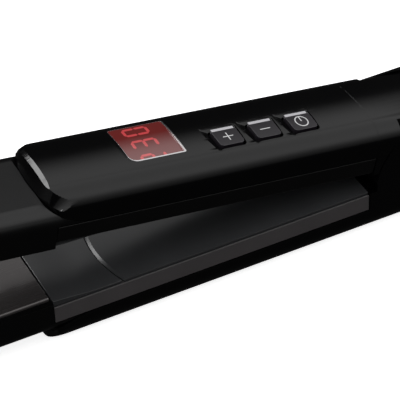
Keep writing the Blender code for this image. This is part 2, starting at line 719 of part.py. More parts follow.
def square_outline(u, v, half, corner):
    return rounded_rect(-u - half, -u + half, v - half, v + half, corner, 3)


def open_top_cover(obj, side):
    """Cut the window and the key holes through the upper cover."""
    outline = window_outline(BEZEL_WIDE + GAP / 2)
    cut(obj, upright(outline, ARM_TOP - 2 * WALL - 3, ARM_TOP + 3), side)
    for k in range(len(KEY_NAMES)):
        hole = square_outline(key_place(k), KEY_V, KEY_WIDE / 2 + KEY_FIT, KEY_CORNER + KEY_FIT)
        cut(obj, upright(hole, ARM_TOP - 2 * WALL - 3, ARM_TOP + 3), side)


def display_window(name, mat, parent):
    pane = upright(window_outline(-GAP / 2), ARM_TOP - WINDOW_THICK, ARM_TOP + 1)
    obj = finish_mesh(name, pane, 1, mat, parent)
    return follow_cover(obj, WINDOW_SUNK)


def window_bezel(name, mat, parent):
    ring = upright(window_outline(BEZEL_WIDE), ARM_TOP - WINDOW_THICK - WALL / 3, ARM_TOP + 1)
    obj = finish_mesh(name, ring, 1, mat, parent)
    follow_cover(obj, 0.0)
    cut(obj, upright(window_outline(0.0), ARM_TOP - 2 * WALL, ARM_TOP + 3), 1)
    return obj


def follow_cover(obj, sunk):
    """Trim a piece to the cover's crowned outer surface, or a little below it."""
    section = dome_section(ARM_HALF, 0, ARM_TOP - sunk, SHOULDER, CROWN)
    return clip(obj, along_arm(section, WINDOW_U - WINDOW_LEN, WINDOW_U + WINDOW_LEN), 1)


def display_module(name, mat, parent):
    block = box(WINDOW_U - DISPLAY_LEN / 2, WINDOW_U + DISPLAY_LEN / 2,
                WINDOW_V - DISPLAY_WIDE / 2, WINDOW_V + DISPLAY_WIDE / 2,
                ON_BOARD, ON_BOARD + DISPLAY_TALL)
    return finish_mesh(name, block, 1, mat, parent)


def key(name, k, mat, parent):
    """A square key with a stem; its origin is on its line of travel."""
    half = KEY_WIDE / 2
    levels = [(-KEY_SKIRT, 0.0), (KEY_PROUD - KEY_EASE, 0.0), (KEY_PROUD, KEY_EASE)]
    rings = [[(x, y, w) for x, y in rounded_rect(-half + e, half - e, -half + e, half - e,
                                                 KEY_CORNER, 3)]
             for w, e in levels]
    obj = finish_mesh(name, stacked(rings), 1, mat, parent, (-key_place(k), KEY_V, ARM_TOP))
    inner = half - KEY_WALL
    well = rounded_rect(-inner, inner, -inner, inner, KEY_CORNER / 2, 3)
    cut(obj, upright(well, -KEY_SKIRT - 1, -KEY_ROOF), 1)
    foot = ON_BOARD + SWITCH_BODY + SWITCH_BUTTON + KEY_TRAVEL + KEY_SLACK - ARM_TOP
    join(obj, upright([(KEY_STEM, -KEY_STEM), (KEY_STEM, KEY_STEM), (-KEY_STEM, KEY_STEM),
                       (-KEY_STEM, -KEY_STEM)], foot, KEY_LAP - KEY_ROOF), 1)
    return obj


def tact_switch(name, k, mat, parent):
    u = key_place(k)
    half = SWITCH_WIDE / 2
    roof = ON_BOARD + SWITCH_BODY
    obj = finish_mesh(name, box(u - half, u + half, KEY_V - half, KEY_V + half, ON_BOARD, roof),
                      1, mat, parent)
    nub = [(roof - SWITCH_BUTTON / 4, SWITCH_NUB), (roof + SWITCH_BUTTON, SWITCH_NUB)]
    join(obj, round_along_z(nub, u, KEY_V), 1)
    return obj


# ---------- boards and fasteners ----------
def board(name, side, mat, parent):
    slab = box(BOARD_START, BOARD_END, -BOARD_HALF, BOARD_HALF, BOARD_W, BOARD_W + BOARD_THICK)
    return finish_mesh(name, slab, side, mat, parent)


def relay(name, side, mat, parent):
    start = BOARD_START + RELAY_START
    block = box(start, start + RELAY_LEN, -RELAY_WIDE - RELAY_SIDE, -RELAY_SIDE,
                ON_BOARD, ON_BOARD + RELAY_TALL)
    return finish_mesh(name, block, side, mat, parent)


def capacitor(name, side, mat, parent):
    w = ON_BOARD + CAPACITOR_RADIUS
    start = BOARD_START + CAPACITOR_START
    can = [(start, CAPACITOR_RADIUS), (start + CAPACITOR_LEN, CAPACITOR_RADIUS)]
    return finish_mesh(name, round_along_x(can, CAPACITOR_V, w, SMALL_ROUND), side, mat, parent)


def screw(name, side, mat, parent, v):
    """A countersunk screw through the tray into the tongue of the neck."""
    head = FLOOR_W + SCREW_SINK
    neck = head + SCREW_HEAD_TALL - 2 * SCREW_SINK
    stations = [(head, SCREW_HEAD), (neck, SCREW_HEAD), (neck + STEP_RISE, SCREW_RADIUS),
                (head + SCREW_LEN, SCREW_RADIUS)]
    obj = finish_mesh(name, round_along_z(stations, SCREW_U, v), side, mat, parent)
    slot = box(SCREW_U - SLOT_HALF, SCREW_U + SLOT_HALF, v - SLOT_WIDE / 2, v + SLOT_WIDE / 2,
               head - 1, head + SLOT_DEEP)
    cut(obj, slot, side)
    return obj


# ---------- assembly ----------
def arm(prefix, side, frame, mats, crown):
    """The pieces that both arms share."""
    pieces = [
        cover(prefix + "_cover", side, mats["gloss"], frame, crown),
        tray(prefix + "_inner_shell", side, mats["satin"], frame),
        panel(prefix + "_inner_panel", side, mats["satin"], frame),
        bridge(prefix + "_bridge", side, mats["satin"], frame),
        housing(prefix + "_plate_housing", side, mats["heatproof"], frame),
        tip_cap(prefix + "_tip_cap", side, mats["heatproof"], frame),
        plate(prefix + "_plate", side, mats["plate"], frame),
        heater(prefix + "_heater", side, mats["ceramic"], frame),
        heater_clamp(prefix + "_heater_clamp", side, mats["steel"], frame),
        pad(prefix + "_front_pad", side, mats["silicone"], frame, PAD_SPREAD),
        pad(prefix + "_rear_pad", side, mats["silicone"], frame, -PAD_SPREAD),
        sensor(prefix + "_temperature_sensor", side, mats["glass"], frame),
    ]
    for label, s in (("left", -1), ("right", 1)):
        pieces.append(screw(f"{prefix}_screw_{label}", side, mats["steel"], frame, s * SCREW_V))
        pieces.append(lead(f"{prefix}_lead_{label}", side, mats["wire"], frame, s * LEAD_V))
    return pieces


def build():
    for obj in list(bpy.data.objects):
        bpy.data.objects.remove(obj, do_unlink=True)
    mats = {
        "gloss": material("gloss_black", (0.012, 0.012, 0.014), 0.12),
        "satin": material("satin_grey", (0.055, 0.052, 0.054), 0.42),
        "heatproof": material("heatproof_black", (0.02, 0.02, 0.022), 0.3),
        "plate": material("plate_coating", (0.19, 0.175, 0.17), 0.22, 0.75),
        "ceramic": material("heater_ceramic", (0.82, 0.8, 0.74), 0.6),
        "steel": material("steel", (0.6, 0.6, 0.6), 0.3, 1.0),
        "silicone": material("silicone", (0.55, 0.12, 0.08), 0.6),
        "glass": material("sensor_glass", (0.35, 0.2, 0.1), 0.1),
        "wire": material("wire_sleeve", (0.75, 0.72, 0.65), 0.5),
        "window": material("window_red", (0.32, 0.06, 0.06), 0.06),
        "bezel": material("window_rim", (0.1, 0.09, 0.1), 0.2),
        "display": material("display_block", (0.5, 0.02, 0.02), 0.35, 0.0, 0.3),
        "key": material("key_plum", (0.09, 0.07, 0.085), 0.35),
        "board": material("circuit_board", (0.02, 0.16, 0.06), 0.45),
        "switch": material("switch_black", (0.03, 0.03, 0.03), 0.5),
        "relay": material("relay_blue", (0.03, 0.1, 0.4), 0.4),
        "can": material("capacitor_sleeve", (0.02, 0.03, 0.12), 0.3),
        "rubber": material("swivel_rubber", (0.02, 0.02, 0.02), 0.65),
    }
    hinge = Vector((HINGE_X, 0.0, ARM_TOP)) * MM
    lower = bpy.data.objects.new("lower_arm_frame", None)
    upper = bpy.data.objects.new("upper_arm_frame", None)
    for empty in (lower, upper):
        bpy.context.scene.collection.objects.link(empty)
        empty.location = hinge
    upper.rotation_euler = (0.0, math.radians(OPEN_DEG), 0.0)

    pieces = arm("lower", -1, lower, mats, 0.0) + arm("upper", 1, upper, mats, CROWN)
    open_top_cover(bpy.data.objects["upper_cover"], 1)
    pieces += [
        yoke("hinge_yoke", -1, mats["gloss"], lower),
        drum("hinge_drum", 1, mats["gloss"], upper),
        hinge_pin("hinge_pin", mats["steel"], lower),
        hinge_cap("hinge_cap_left", mats["bezel"], lower, -1),
        hinge_cap("hinge_cap_right", mats["bezel"], lower, 1),
        hinge_spring("hinge_spring", mats["steel"], lower),
        swivel("cord_swivel", mats["rubber"], lower),
        board("power_board", -1, mats["board"], lower),
        relay("power_relay", -1, mats["relay"], lower),
        capacitor("power_capacitor", -1, mats["can"], lower),
        thermal_fuse("thermal_fuse", -1, mats["steel"], lower),
        board("control_board", 1, mats["board"], upper),
        display_module("display_module", mats["display"], upper),
        display_window("display_window", mats["window"], upper),
        window_bezel("window_bezel", mats["bezel"], upper),
    ]
    for k, name in enumerate(KEY_NAMES):
        pieces.append(key(name, k, mats["key"], upper))
        pieces.append(tact_switch(name.replace("button", "switch"), k, mats["switch"], upper))
    for obj in pieces:
        smooth(obj)


build()
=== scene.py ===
"""Looks of a hinged hair styler: fine shells, glass, keys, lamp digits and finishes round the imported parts.

Every piece is drawn in its arm's own frame, in millimetres: u runs from the hinge axis towards the
tip, v across the arm and w outwards from the plane where the plates meet. An arm's matrix takes
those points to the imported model's frame, in metres.
"""

import json
import math

import bmesh
import bpy
from mathutils import Matrix, Vector


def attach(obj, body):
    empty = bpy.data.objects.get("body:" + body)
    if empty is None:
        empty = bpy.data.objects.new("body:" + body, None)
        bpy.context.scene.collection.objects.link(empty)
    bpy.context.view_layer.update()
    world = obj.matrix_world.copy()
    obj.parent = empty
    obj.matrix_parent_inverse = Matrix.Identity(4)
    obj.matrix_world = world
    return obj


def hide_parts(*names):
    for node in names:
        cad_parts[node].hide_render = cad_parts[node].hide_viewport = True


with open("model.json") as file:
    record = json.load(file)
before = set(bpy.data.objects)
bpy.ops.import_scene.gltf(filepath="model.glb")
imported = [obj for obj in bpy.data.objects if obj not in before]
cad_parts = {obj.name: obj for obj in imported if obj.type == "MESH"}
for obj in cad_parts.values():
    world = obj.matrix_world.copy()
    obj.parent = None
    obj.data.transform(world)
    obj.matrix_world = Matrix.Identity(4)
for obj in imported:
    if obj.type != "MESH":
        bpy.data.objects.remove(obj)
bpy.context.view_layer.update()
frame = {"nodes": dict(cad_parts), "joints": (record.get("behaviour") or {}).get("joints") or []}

MM = 0.001


# ---------- the frame ----------
def joint(name):
    return next(j for j in frame["joints"] if j["name"] == name)


HINGE = Vector(joint("arm_hinge")["pos_m"])
OPEN = math.radians(joint("arm_hinge")["range_deg"][1])


class Arm:
    """One arm's own frame, and the bodies that its pieces ride on."""

    def __init__(self, name, side, tilt):
        self.name = name
        self.body = name + "_arm"
        self.plate_body = name + "_floating_plate"
        scale = Matrix.Diagonal((-MM, MM, MM * side, 1.0))
        self.matrix = Matrix.Translation(HINGE) @ Matrix.Rotation(tilt, 4, "Y") @ scale

    def span(self, node):
        """Lowest and highest u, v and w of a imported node."""
        back = self.matrix.inverted()
        points = [back @ v.co for v in frame["nodes"][node].data.vertices]
        low = Vector(min(p[k] for p in points) for k in range(3))
        high = Vector(max(p[k] for p in points) for k in range(3))
        return low, high


LOWER = Arm("lower", -1, 0.0)
UPPER = Arm("upper", 1, OPEN)
ARMS = (LOWER, UPPER)

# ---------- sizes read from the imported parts, in millimetres ----------
COVER_LOW, COVER_HIGH = LOWER.span("lower_cover")
SHELL_LOW, SHELL_HIGH = LOWER.span("lower_inner_shell")
PANEL_LOW, PANEL_HIGH = LOWER.span("lower_inner_panel")
BRIDGE_HIGH = LOWER.span("lower_bridge")[1]
HOUSING_LOW, HOUSING_HIGH = LOWER.span("lower_plate_housing")
PLATE_LOW, PLATE_HIGH = LOWER.span("lower_plate")
TIP_HIGH = LOWER.span("lower_tip_cap")[1]
GLASS_LOW, GLASS_HIGH = UPPER.span("display_window")
CAP_LOW, CAP_HIGH = LOWER.span("hinge_cap_right")
SLEEVE_LOW, SLEEVE_HIGH = LOWER.span("cord_swivel")

ARM_HALF = COVER_HIGH.y
ARM_TOP = COVER_HIGH.z
SEAM_W = COVER_LOW.z
NECK_U = COVER_LOW.x
COVER_END = COVER_HIGH.x
FACE_W = PANEL_LOW.z
PANEL_HALF = PANEL_HIGH.y
RING_U = PANEL_HIGH.x
PLATE_U = BRIDGE_HIGH.x
EDGE_W = HOUSING_LOW.z
HOUSING_TOP = HOUSING_HIGH.z
HOUSING_END = HOUSING_HIGH.x
CLIMB_U = HOUSING_LOW.x
DRUM_RADIUS = ARM_TOP

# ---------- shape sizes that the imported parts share, in millimetres ----------
GAP = 0.3
WALL = 1.8
SHOULDER = 7.0
CROWN = 0.6
LEAN = 0.4
PANEL_THICK = 1.0
RING_BOW = 3.0
RISE_LEN = 14.0
COVER_RAKE = 2.1
FOOT_DEPTH = 6.0
RIM_DEPTH = 40.0
RIM_POWER = 10
CLIMB_ROUND = 27.4
CLIMB_LEN = math.sqrt(CLIMB_ROUND ** 2 - (CLIMB_ROUND - HOUSING_TOP - GAP + SEAM_W) ** 2)
HOUSING_ROUND = 5.5
DRUM_HALF = 10.2
DRUM_CLEAR = 0.4
TONGUE_LEN = 15.0
TONGUE_HALF = 8.5
TONGUE_THICK = 3.0
TONGUE_W = FACE_W + PANEL_THICK + 2 * GAP + WALL
NECK_START = DRUM_RADIUS * 0.68
TAIL_BACK = DRUM_RADIUS + DRUM_CLEAR + 9.0
TAIL_RADIUS = 10.5
TAIL_WIDE = 14.8
TAIL_TALL = 14.0
TAIL_ROUND = 6.0
SLEEVE_BORE = 3.2
SLEEVE_SHAFT = 6.0
SLEEVE_FLANGE = 7.6
FLANGE_THICK = 2.4
PIN_ROOM = 2.4           # radius of the bore for the pin
PLATE_THICK = 1.9
PLATE_EASE = 0.8
RIB_END = 8              # the ribs on a plate's back stop this far from its ends
RIB_WIDE = 1.2
RIB_PLACES = (-6.2, 5.0)
TIP_TURN = 87            # degrees that a tip's side turns through
TIP_SHRINK = 0.55        # a tip draws in by this share of its length
TIP_LIFT = 0.25          # shares of that shrinking taken up by its lower edge
TIP_ROUND_LOSS = 0.45    # and by the round of its shoulder
KEY_FIT = 0.35

# ---------- sizes of the fine work, in millimetres ----------
EASE = 0.22              # rounding of an ordinary moulded edge
FINE_EASE = 0.12
RIM_SLOPE = 0.85         # length of the slope along the cover's front rim
RIM_GRADE = 0.62         # fall of that slope per millimetre
RIM_CLEAR = 1.3          # it starts this far off the rim at the sides
FADE_NEAR = 15.0         # the slope starts this far out on the near side
FADE_NEAR_LEN = 9.0      # and has its full width this much further in
FADE_FAR = 17.0          # the same two on the far side
FADE_FAR_LEN = 5.0
RIM_ZONE = 17            # edges this close to the cover's front keep crisp
RIM_EASE = 0.06
SEAM_EASE = 0.03         # rounding of the seam against the neck
STATION_STEP = 3         # the cover is drawn in steps, so that no face is long and thin
STATION_COUNT = 32
RING_SLOPE = 0.9         # length and fall of the slope on the panel's curved end
RING_FALL = 0.42
SHOULDER_STEPS = 20
CROWN_STEPS = 40
PLAN_STEPS = 22
GLASS_SUNK = 0.41        # the middle of the window's face below the cover's highest line
GLASS_LEAN = 0.0155      # rise of that face towards the far side, per millimetre
GLASS_BOW = 0.009        # its bow across the arm, per square millimetre
GLASS_CORNER = 0.35
GLASS_CUT_CORNER = 2.3   # the corner nearest the tip and the keys' side
BEZEL_RING = 0.22
BEZEL_HEAVY = 0.3        # how much wider the rim is on its hinge side and its near side
POCKET_DEEP = 0.8        # depth of the scoop round a key
POCKET_SHELF = 0.45      # depth of the scoop's outer wall
DIGIT_TALL = 7.9
DIGIT_WIDE = 3.8
DIGIT_PITCH = 5.95
DIGIT_U = 87.6
DIGIT_V = -5.15          # middle of the first digit
DIGIT_STROKE = 0.85
DIGIT_SKIN = 0.03        # thickness of the lit segments and of the keys' printed signs
DIGIT_GAP = 0.12         # gap between two bars that meet
DIGIT_MARGIN = 0.25      # the bars stop this far inside the window's outline
SIGN_STROKE = 0.32
SIGN_HALF = 1.6          # half the length of the plus and minus signs
SIGN_RING = 2.0          # radius of the power sign
SIGN_TALL = 1.12         # its height as a share of its width
SIGN_SHIFT = 0.5         # a sign sits this far off its key's middle, away from the band
KEY_ROUND = 1.2          # plan radius of a key's corners
KEY_FALL = 0.36          # how far a key's face curves down to its near edge
BAND_WIDE = 1.4          # width of the pale band along a key's far edge
BAND_DEEP = 0.5


# ---------- outlines ----------
def arc(cu, cv, radius, start, end, steps):
    points = []
    for k in range(steps + 1):
        angle = math.radians(start + (end - start) * k / steps)
        points.append((cu + radius * math.cos(angle), cv + radius * math.sin(angle)))
    return points


def filleted(corners, steps=8):
    """A closed outline through (x, y, radius) corners, each turned with a round of that radius."""
    points = []
    count = len(corners)
    for k, (x, y, radius) in enumerate(corners):
        here = Vector((x, y))
        before = (Vector(corners[k - 1][:2]) - here).normalized()
        after = (Vector(corners[(k + 1) % count][:2]) - here).normalized()
        half_turn = (math.pi - before.angle(after)) / 2
        reach = max(radius * math.tan(half_turn), 0.15)
        weight = math.cos(half_turn)
        first, last = here + before * reach, here + after * reach
        for n in range(steps + 1):
            t = n / steps
            a, b, c = (1 - t) ** 2, 2 * weight * t * (1 - t), t * t
            point = (first * a + here * b + last * c) / (a + b + c)
            points.append((point.x, point.y))
    return points


def rounded_rect(x0, x1, y0, y1, corner, steps=8):
    return filleted([(x1, y1, corner), (x0, y1, corner), (x0, y0, corner), (x1, y0, corner)], steps)


def dome_section(half, low, top, radius, crown=0.0):
    """A section with upright sides, rounded upper edges and a crowned top, as (v, w) points."""
    flat = half - radius
    centre = top - crown - radius
    points = [(-half, low), (half, low)] + arc(flat, centre, radius, 0, 90, SHOULDER_STEPS)
    if crown:
        for k in range(1, CROWN_STEPS):
            v = flat * (1 - 2 * k / CROWN_STEPS)
            points.append((v, top - crown * (v / flat) ** 2))
    return points + arc(-flat, centre, radius, 90, 180, SHOULDER_STEPS)


def front_plan(rear, front, half, fall):
    """A plan outline that is square at the rear and falls back at both sides of its front."""
    points = [(rear, half), (rear, -half)]
    count = 3 * PLAN_STEPS
    for k in range(count + 1):
        share = -math.cos(math.pi * k / count)
        points.append((front - fall(abs(share)), half * share))
    return points


def foot_fall(share):
    return FOOT_DEPTH * (1 - math.sqrt(max(1 - share ** 2, 0.0)))


def rim_fall(share):
    return RIM_DEPTH * share ** RIM_POWER


def bowed_end(rear, middle, bow, half):
    """A plan outline with a straight rear end and a front end that bows towards the tip."""
    points = [(rear, half), (rear, -half)]
    for k in range(PLAN_STEPS + 1):
        v = -half * (1 - 2 * k / PLAN_STEPS)
        points.append((middle - bow * (v / half) ** 2, v))
    return points


def smooth_step(t):
    t = min(max(t, 0.0), 1.0)
    return t * t * (3 - 2 * t)


# ---------- solids ----------
def loft(rings):
    """A closed solid through rings with equal numbers of points."""
    bm = bmesh.new()
    loops = [[bm.verts.new(p) for p in ring] for ring in rings]
    count = len(rings[0])
    for low, high in zip(loops, loops[1:]):
        for k in range(count):
            n = (k + 1) % count
            bm.faces.new((low[k], low[n], high[n], high[k]))
    bm.faces.new(list(reversed(loops[0])))
    bm.faces.new(loops[-1])
    bmesh.ops.recalc_face_normals(bm, faces=bm.faces)
    return bm


def along(section, *stations):
    """A (v, w) section drawn along the arm."""
    return loft([[(u, v, w) for v, w in section] for u in stations])


def upright(outline, *heights):
    """A (u, v) outline drawn outwards from the plate plane."""
    return loft([[(u, v, w) for u, v in outline] for w in heights])


def across(profile, half):
    """A (u, w) side profile drawn across the arm."""
    return loft([[(u, v, w) for u, w in profile] for v in (-half, half)])


def block(u0, u1, v0, v1, w0, w1):
    return upright([(u0, v0), (u1, v0), (u1, v1), (u0, v1)], w0, w1)


def turned_u(stations, v=0.0, w=0.0, sides=64):
    """A turned solid about a line along the arm, from (u, radius) stations."""
    turns = [2 * math.pi * k / sides for k in range(sides)]
    return loft([[(u, v + r * math.cos(a), w + r * math.sin(a)) for a in turns]
                 for u, r in stations])


def turned_v(stations, sides=96):
    """A turned solid about the hinge axis, from (v, radius) stations."""
    turns = [2 * math.pi * k / sides for k in range(sides)]
    return loft([[(r * math.cos(a), v, r * math.sin(a)) for a in turns] for v, r in stations])


def loose(bm, name):
    mesh = bpy.data.meshes.new(name)
    bm.to_mesh(mesh)
    bm.free()
    obj = bpy.data.objects.new(name, mesh)
    bpy.context.scene.collection.objects.link(obj)
    return obj


def evaluated(obj):
    graph = bpy.context.evaluated_depsgraph_get()
    return bpy.data.meshes.new_from_object(obj.evaluated_get(graph))


def discard(*objects):
    for obj in objects:
        mesh = obj.data
        bpy.data.objects.remove(obj)
        bpy.data.meshes.remove(mesh)


CUT, JOIN, KEEP = "DIFFERENCE", "UNION", "INTERSECT"


def carved(bm, steps):
    """The mesh left after each (how, helper solid) step."""
    blank = loose(bm, "blank")
    helpers = []
    for how, solid in steps:
        helper = loose(solid, "helper")
        step = blank.modifiers.new(how.lower(), "BOOLEAN")
        step.operation = how
        step.solver = "EXACT"
        step.object = helper
        helpers.append(helper)
    mesh = evaluated(blank)
    discard(blank, *helpers)
    return mesh


SHARP = math.radians(28)


def eased(mesh, width, own_width=None, segments=3):
    """Round the sharp edges. own_width(middle) gives another width where it isn't None.
    The rounded faces are marked in the attribute edge, where a finish wears first; the keys' finish also
    paints a highlight there."""
    bm = bmesh.new()
    bm.from_mesh(mesh)
    bmesh.ops.dissolve_degenerate(bm, dist=0.002, edges=bm.edges)
    weights = (bm.edges.layers.float.get("bevel_weight_edge")
               or bm.edges.layers.float.new("bevel_weight_edge"))
    for edge in bm.edges:
        edge[weights] = 0.0
    wanted = {}
    for edge in bm.edges:
        if len(edge.link_faces) == 2 and edge.calc_face_angle(0.0) > SHARP:
            middle = (edge.verts[0].co + edge.verts[1].co) / 2
            own = own_width(middle) if own_width else None
            wanted[edge] = width if own is None else own
    largest = max(list(wanted.values()) + [width])
    for edge, size in wanted.items():
        edge[weights] = size / largest
    blank = loose(bm, "blank")
    for name in ("plain", "rounded"):
        blank.data.materials.append(bpy.data.materials.new(name))
    step = blank.modifiers.new("rounding", "BEVEL")
    step.limit_method = "WEIGHT"
    step.width = largest
    step.segments = segments
    step.use_clamp_overlap = True
    step.material = 1
    made = evaluated(blank)
    discard(blank)
    mark = made.attributes.get("edge") or made.attributes.new("edge", "FLOAT", "FACE")
    for face in made.polygons:
        mark.data[face.index].value = max(mark.data[face.index].value, float(face.material_index))
        face.material_index = 0
    made.materials.clear()
    return made


def settle(name, mesh, arm, finish, slot, body, *nodes, flat_degrees=40):
    """Put a drawn mesh in its place as a named piece that moves with a body."""
    mesh.transform(arm.matrix)
    if arm.matrix.determinant() < 0:
        mesh.flip_normals()
    mesh.shade_smooth()
    mesh.set_sharp_from_angle(angle=math.radians(flat_degrees))
    mesh.name = name
    mesh.materials.append(finish)
    piece = bpy.data.objects.new(name, mesh)
    bpy.context.scene.collection.objects.link(piece)
    hold = piece.modifiers.new("even_shading", "WEIGHTED_NORMAL")
    hold.keep_sharp = True
    hold.weight = 50
    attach(piece, body)
    if nodes:
        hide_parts(*nodes)
    return piece


# ---------- finishes ----------
class Level:
    """A node's output that takes part in sums; each step of a sum adds a Math node."""

    def __init__(self, finish, output):
        self.finish = finish
        self.output = output

    def step(self, operation, first, second):
        return self.finish.node("Math", {"operation": operation}, {0: first, 1: second})

    def __add__(self, other):
        return self.step("ADD", self, other)

    def __radd__(self, other):
        return self.step("ADD", other, self)

    def __sub__(self, other):
        return self.step("SUBTRACT", self, other)

    def __rsub__(self, other):
        return self.step("SUBTRACT", other, self)

    def __mul__(self, other):
        return self.step("MULTIPLY", self, other)

    def __rmul__(self, other):
        return self.step("MULTIPLY", other, self)


class Finish:
    """A material being made: one shader, its constants, and what varies over the surface."""

    def __init__(self, name, **constants):
        self.material = bpy.data.materials.new(name)
        self.material.use_nodes = True
        self.tree = self.material.node_tree
        self.shader = self.tree.nodes["Principled BSDF"]
        for socket, value in constants.items():
            self.set(socket.replace("_", " "), value)
        self.place = self.node("TexCoord", output="Object")

    def node(self, kind, settings=None, inputs=None, output=0):
        """Add a node: its settings first, then the values or links of its sockets."""
        made = self.tree.nodes.new("ShaderNode" + kind)
        for key, value in (settings or {}).items():
            if key == "stops":
                self.fill_ramp(made.color_ramp, value)
            else:
                setattr(made, key, value)
        for key, value in (inputs or {}).items():
            self.feed(made.inputs[key], value)
        return Level(self, made.outputs[output])

    def fill_ramp(self, ramp, stops):
        while len(ramp.elements) < len(stops):
            ramp.elements.new(1.0)
        for element, (position, level) in zip(ramp.elements, stops):
            element.position = position
            element.color = (level, level, level, 1.0)

    def feed(self, socket, value):
        if isinstance(value, Level):
            self.tree.links.new(value.output, socket)
        elif socket.type == "RGBA" and len(value) == 3:
            socket.default_value = (*value, 1.0)
        else:
            socket.default_value = value

    def set(self, socket, value):
        self.feed(self.shader.inputs[socket], value)

    def noise(self, size, detail=2.0, rough=0.5, stretch=None):
        """Cloudy variation, with features of a size in millimetres."""
        place = self.place
        if stretch:
            place = self.node("Mapping", {}, {"Vector": place, "Scale": stretch})
        return self.node("TexNoise", {}, {"Vector": place, "Scale": 1.0 / (size * MM),
                                          "Detail": detail, "Roughness": rough})

    def ramp(self, level, *stops):
        return self.node("ValToRGB", {"stops": stops}, {0: level})

    def blend(self, factor, first, second):
        """A mix of two colours."""
        return self.node("Mix", {"data_type": "RGBA"}, {0: factor, 6: first, 7: second}, output=2)

    def rounded(self):
        """1 on rounded edges."""
        return self.node("Attribute", {"attribute_name": "edge"}, output="Fac")

    def edge(self):
        """1 on rounded edges, broken up as wear is."""
        return self.rounded() * self.ramp(self.noise(3.0, 3.0), (0.42, 0.0), (0.62, 1.0))

    def bump(self, height, distance, strength=1.0, under=None):
        inputs = {"Height": height, "Distance": distance * MM, "Strength": strength}
        if under:
            inputs["Normal"] = under
        return self.node("Bump", {}, inputs)

    def done(self, colour, roughness, normal=None):
        self.set("Base Color", colour)
        self.set("Roughness", roughness)
        if normal:
            self.set("Normal", normal)
        return self.material


def gloss_black():
    """Piano-black moulding: deep gloss, faint ripple, hairline polishing marks and dulled edges."""
    f = Finish("gloss_black", IOR=1.46)
    wear = f.edge()
    haze = f.noise(22.0, 3.0)
    hairline = f.noise(0.5, 2.0, 0.6, stretch=(0.06, 1.0, 1.0))
    colour = f.blend(wear * 0.25, (0.0012, 0.0012, 0.0014), (0.016, 0.016, 0.018))
    rough = 0.12 + haze * 0.05 + wear * 0.06 + f.ramp(hairline, (0.6, 0.0), (0.75, 1.0)) * 0.03
    ripple = f.bump(f.noise(9.0, 1.0), 0.004, 0.25)
    return f.done(colour, rough, f.bump(hairline, 0.0006, 0.3, ripple))


def satin(name, colour, worn, rough=0.3):
    """Spark-textured moulding with a soft sheen."""
    f = Finish(name, IOR=1.5)
    wear = f.edge()
    grain = f.noise(0.22, 3.0, 0.6)
    cloud = f.noise(12.0, 3.0)
    shade = f.blend(cloud, colour, tuple(c * 1.35 for c in colour))
    shade = f.blend(wear * 0.4, shade, worn)
    roughness = rough + (cloud - 0.5) * 0.12 - wear * 0.06 + (grain - 0.5) * 0.06
    return f.done(shade, roughness, f.bump(grain, 0.006, 0.35))


def heatproof_black():
    """Glass-filled heatproof moulding: a fine orange-peel skin with pale fibre flecks."""
    f = Finish("heatproof_black", IOR=1.5)
    wear = f.edge()
    peel = f.noise(0.7, 2.0)
    fleck = f.node("TexVoronoi", {"feature": "F1"}, {"Vector": f.place, "Scale": 1400.0})
    flecks = f.ramp(fleck, (0.0, 1.0), (0.12, 0.0))
    colour = f.blend(flecks * 0.3, (0.0016, 0.0016, 0.0018), (0.012, 0.012, 0.013))
    colour = f.blend(wear * 0.35, colour, (0.03, 0.03, 0.032))
    rough = 0.24 + f.noise(8.0, 3.0) * 0.12
    return f.done(colour, rough, f.bump(peel, 0.006, 0.3))


def plate_coating():
    """Ceramic-coated plate: dark glaze with mineral sparkle and fine lengthwise polish."""
    f = Finish("plate_coating", IOR=1.55, Coat_Roughness=0.08)
    sparkle = f.node("TexVoronoi", {"feature": "F1"}, {"Vector": f.place, "Scale": 2600.0})
    fleck = f.ramp(sparkle, (0.0, 1.0), (0.16, 0.0))
    polish = f.noise(0.35, 3.0, 0.6, stretch=(0.03, 1.0, 1.0))
    wear = f.edge()
    colour = f.blend(f.noise(16.0, 3.0), (0.085, 0.078, 0.078), (0.12, 0.11, 0.108))
    colour = f.blend(fleck * 0.5, colour, (0.42, 0.4, 0.39))
    colour = f.blend(wear * 0.7, colour, (0.5, 0.48, 0.47))
    f.set("Metallic", 0.55 + fleck * 0.3)
    f.set("Coat Weight", 0.35 + wear * 0.2)
    rough = 0.2 + polish * 0.12
    return f.done(colour, rough, f.bump(polish, 0.002, 0.3))


def window_glass():
    """Red filter glass with a mirror-bright face. The glass itself glows faintly red all over: painted light
    for the display's lit inside seen through it.
    """
    f = Finish("window_red", IOR=1.95)
    # Painted light: the pane emits a faint red glow of its own, standing in for the lit inside of the display
    # under the filter.
    f.set("Emission Strength", 1.0)
    cloud = f.noise(7.0, 2.0)
    glow = f.blend(cloud, (0.085, 0.011, 0.01), (0.12, 0.017, 0.015))
    f.set("Emission Color", glow)
    smear = f.noise(5.0, 4.0, 0.6, stretch=(0.5, 1.0, 1.0))
    colour = f.blend(cloud, (0.02, 0.002, 0.002), (0.035, 0.004, 0.004))
    return f.done(colour, 0.035 + smear * 0.05, f.bump(f.noise(11.0, 1.0), 0.002, 0.2))


def lit_digit():
    """A glowing segment behind the glass, a little brighter in its middle."""
    f = Finish("digit_light", IOR=1.95)
    f.set("Emission Strength", 1.0)
    f.set("Emission Color", f.blend(f.noise(0.9, 2.0), (0.34, 0.035, 0.04), (0.5, 0.06, 0.065)))
    colour = f.blend(f.noise(2.0, 1.0), (0.1, 0.01, 0.01), (0.14, 0.015, 0.015))
    return f.done(colour, 0.05 + f.noise(4.0, 2.0) * 0.04)


def bright_rim():
    """Bright-plated trim with fine handling marks."""
    f = Finish("window_rim", IOR=1.5)
    f.set("Metallic", 0.9 + f.noise(4.0, 2.0) * 0.1)
    colour = f.blend(f.noise(6.0, 3.0), (0.72, 0.7, 0.71), (0.88, 0.86, 0.87))
    return f.done(colour, 0.1 + f.noise(1.2, 3.0) * 0.12, f.bump(f.noise(0.4, 2.0), 0.001, 0.2))


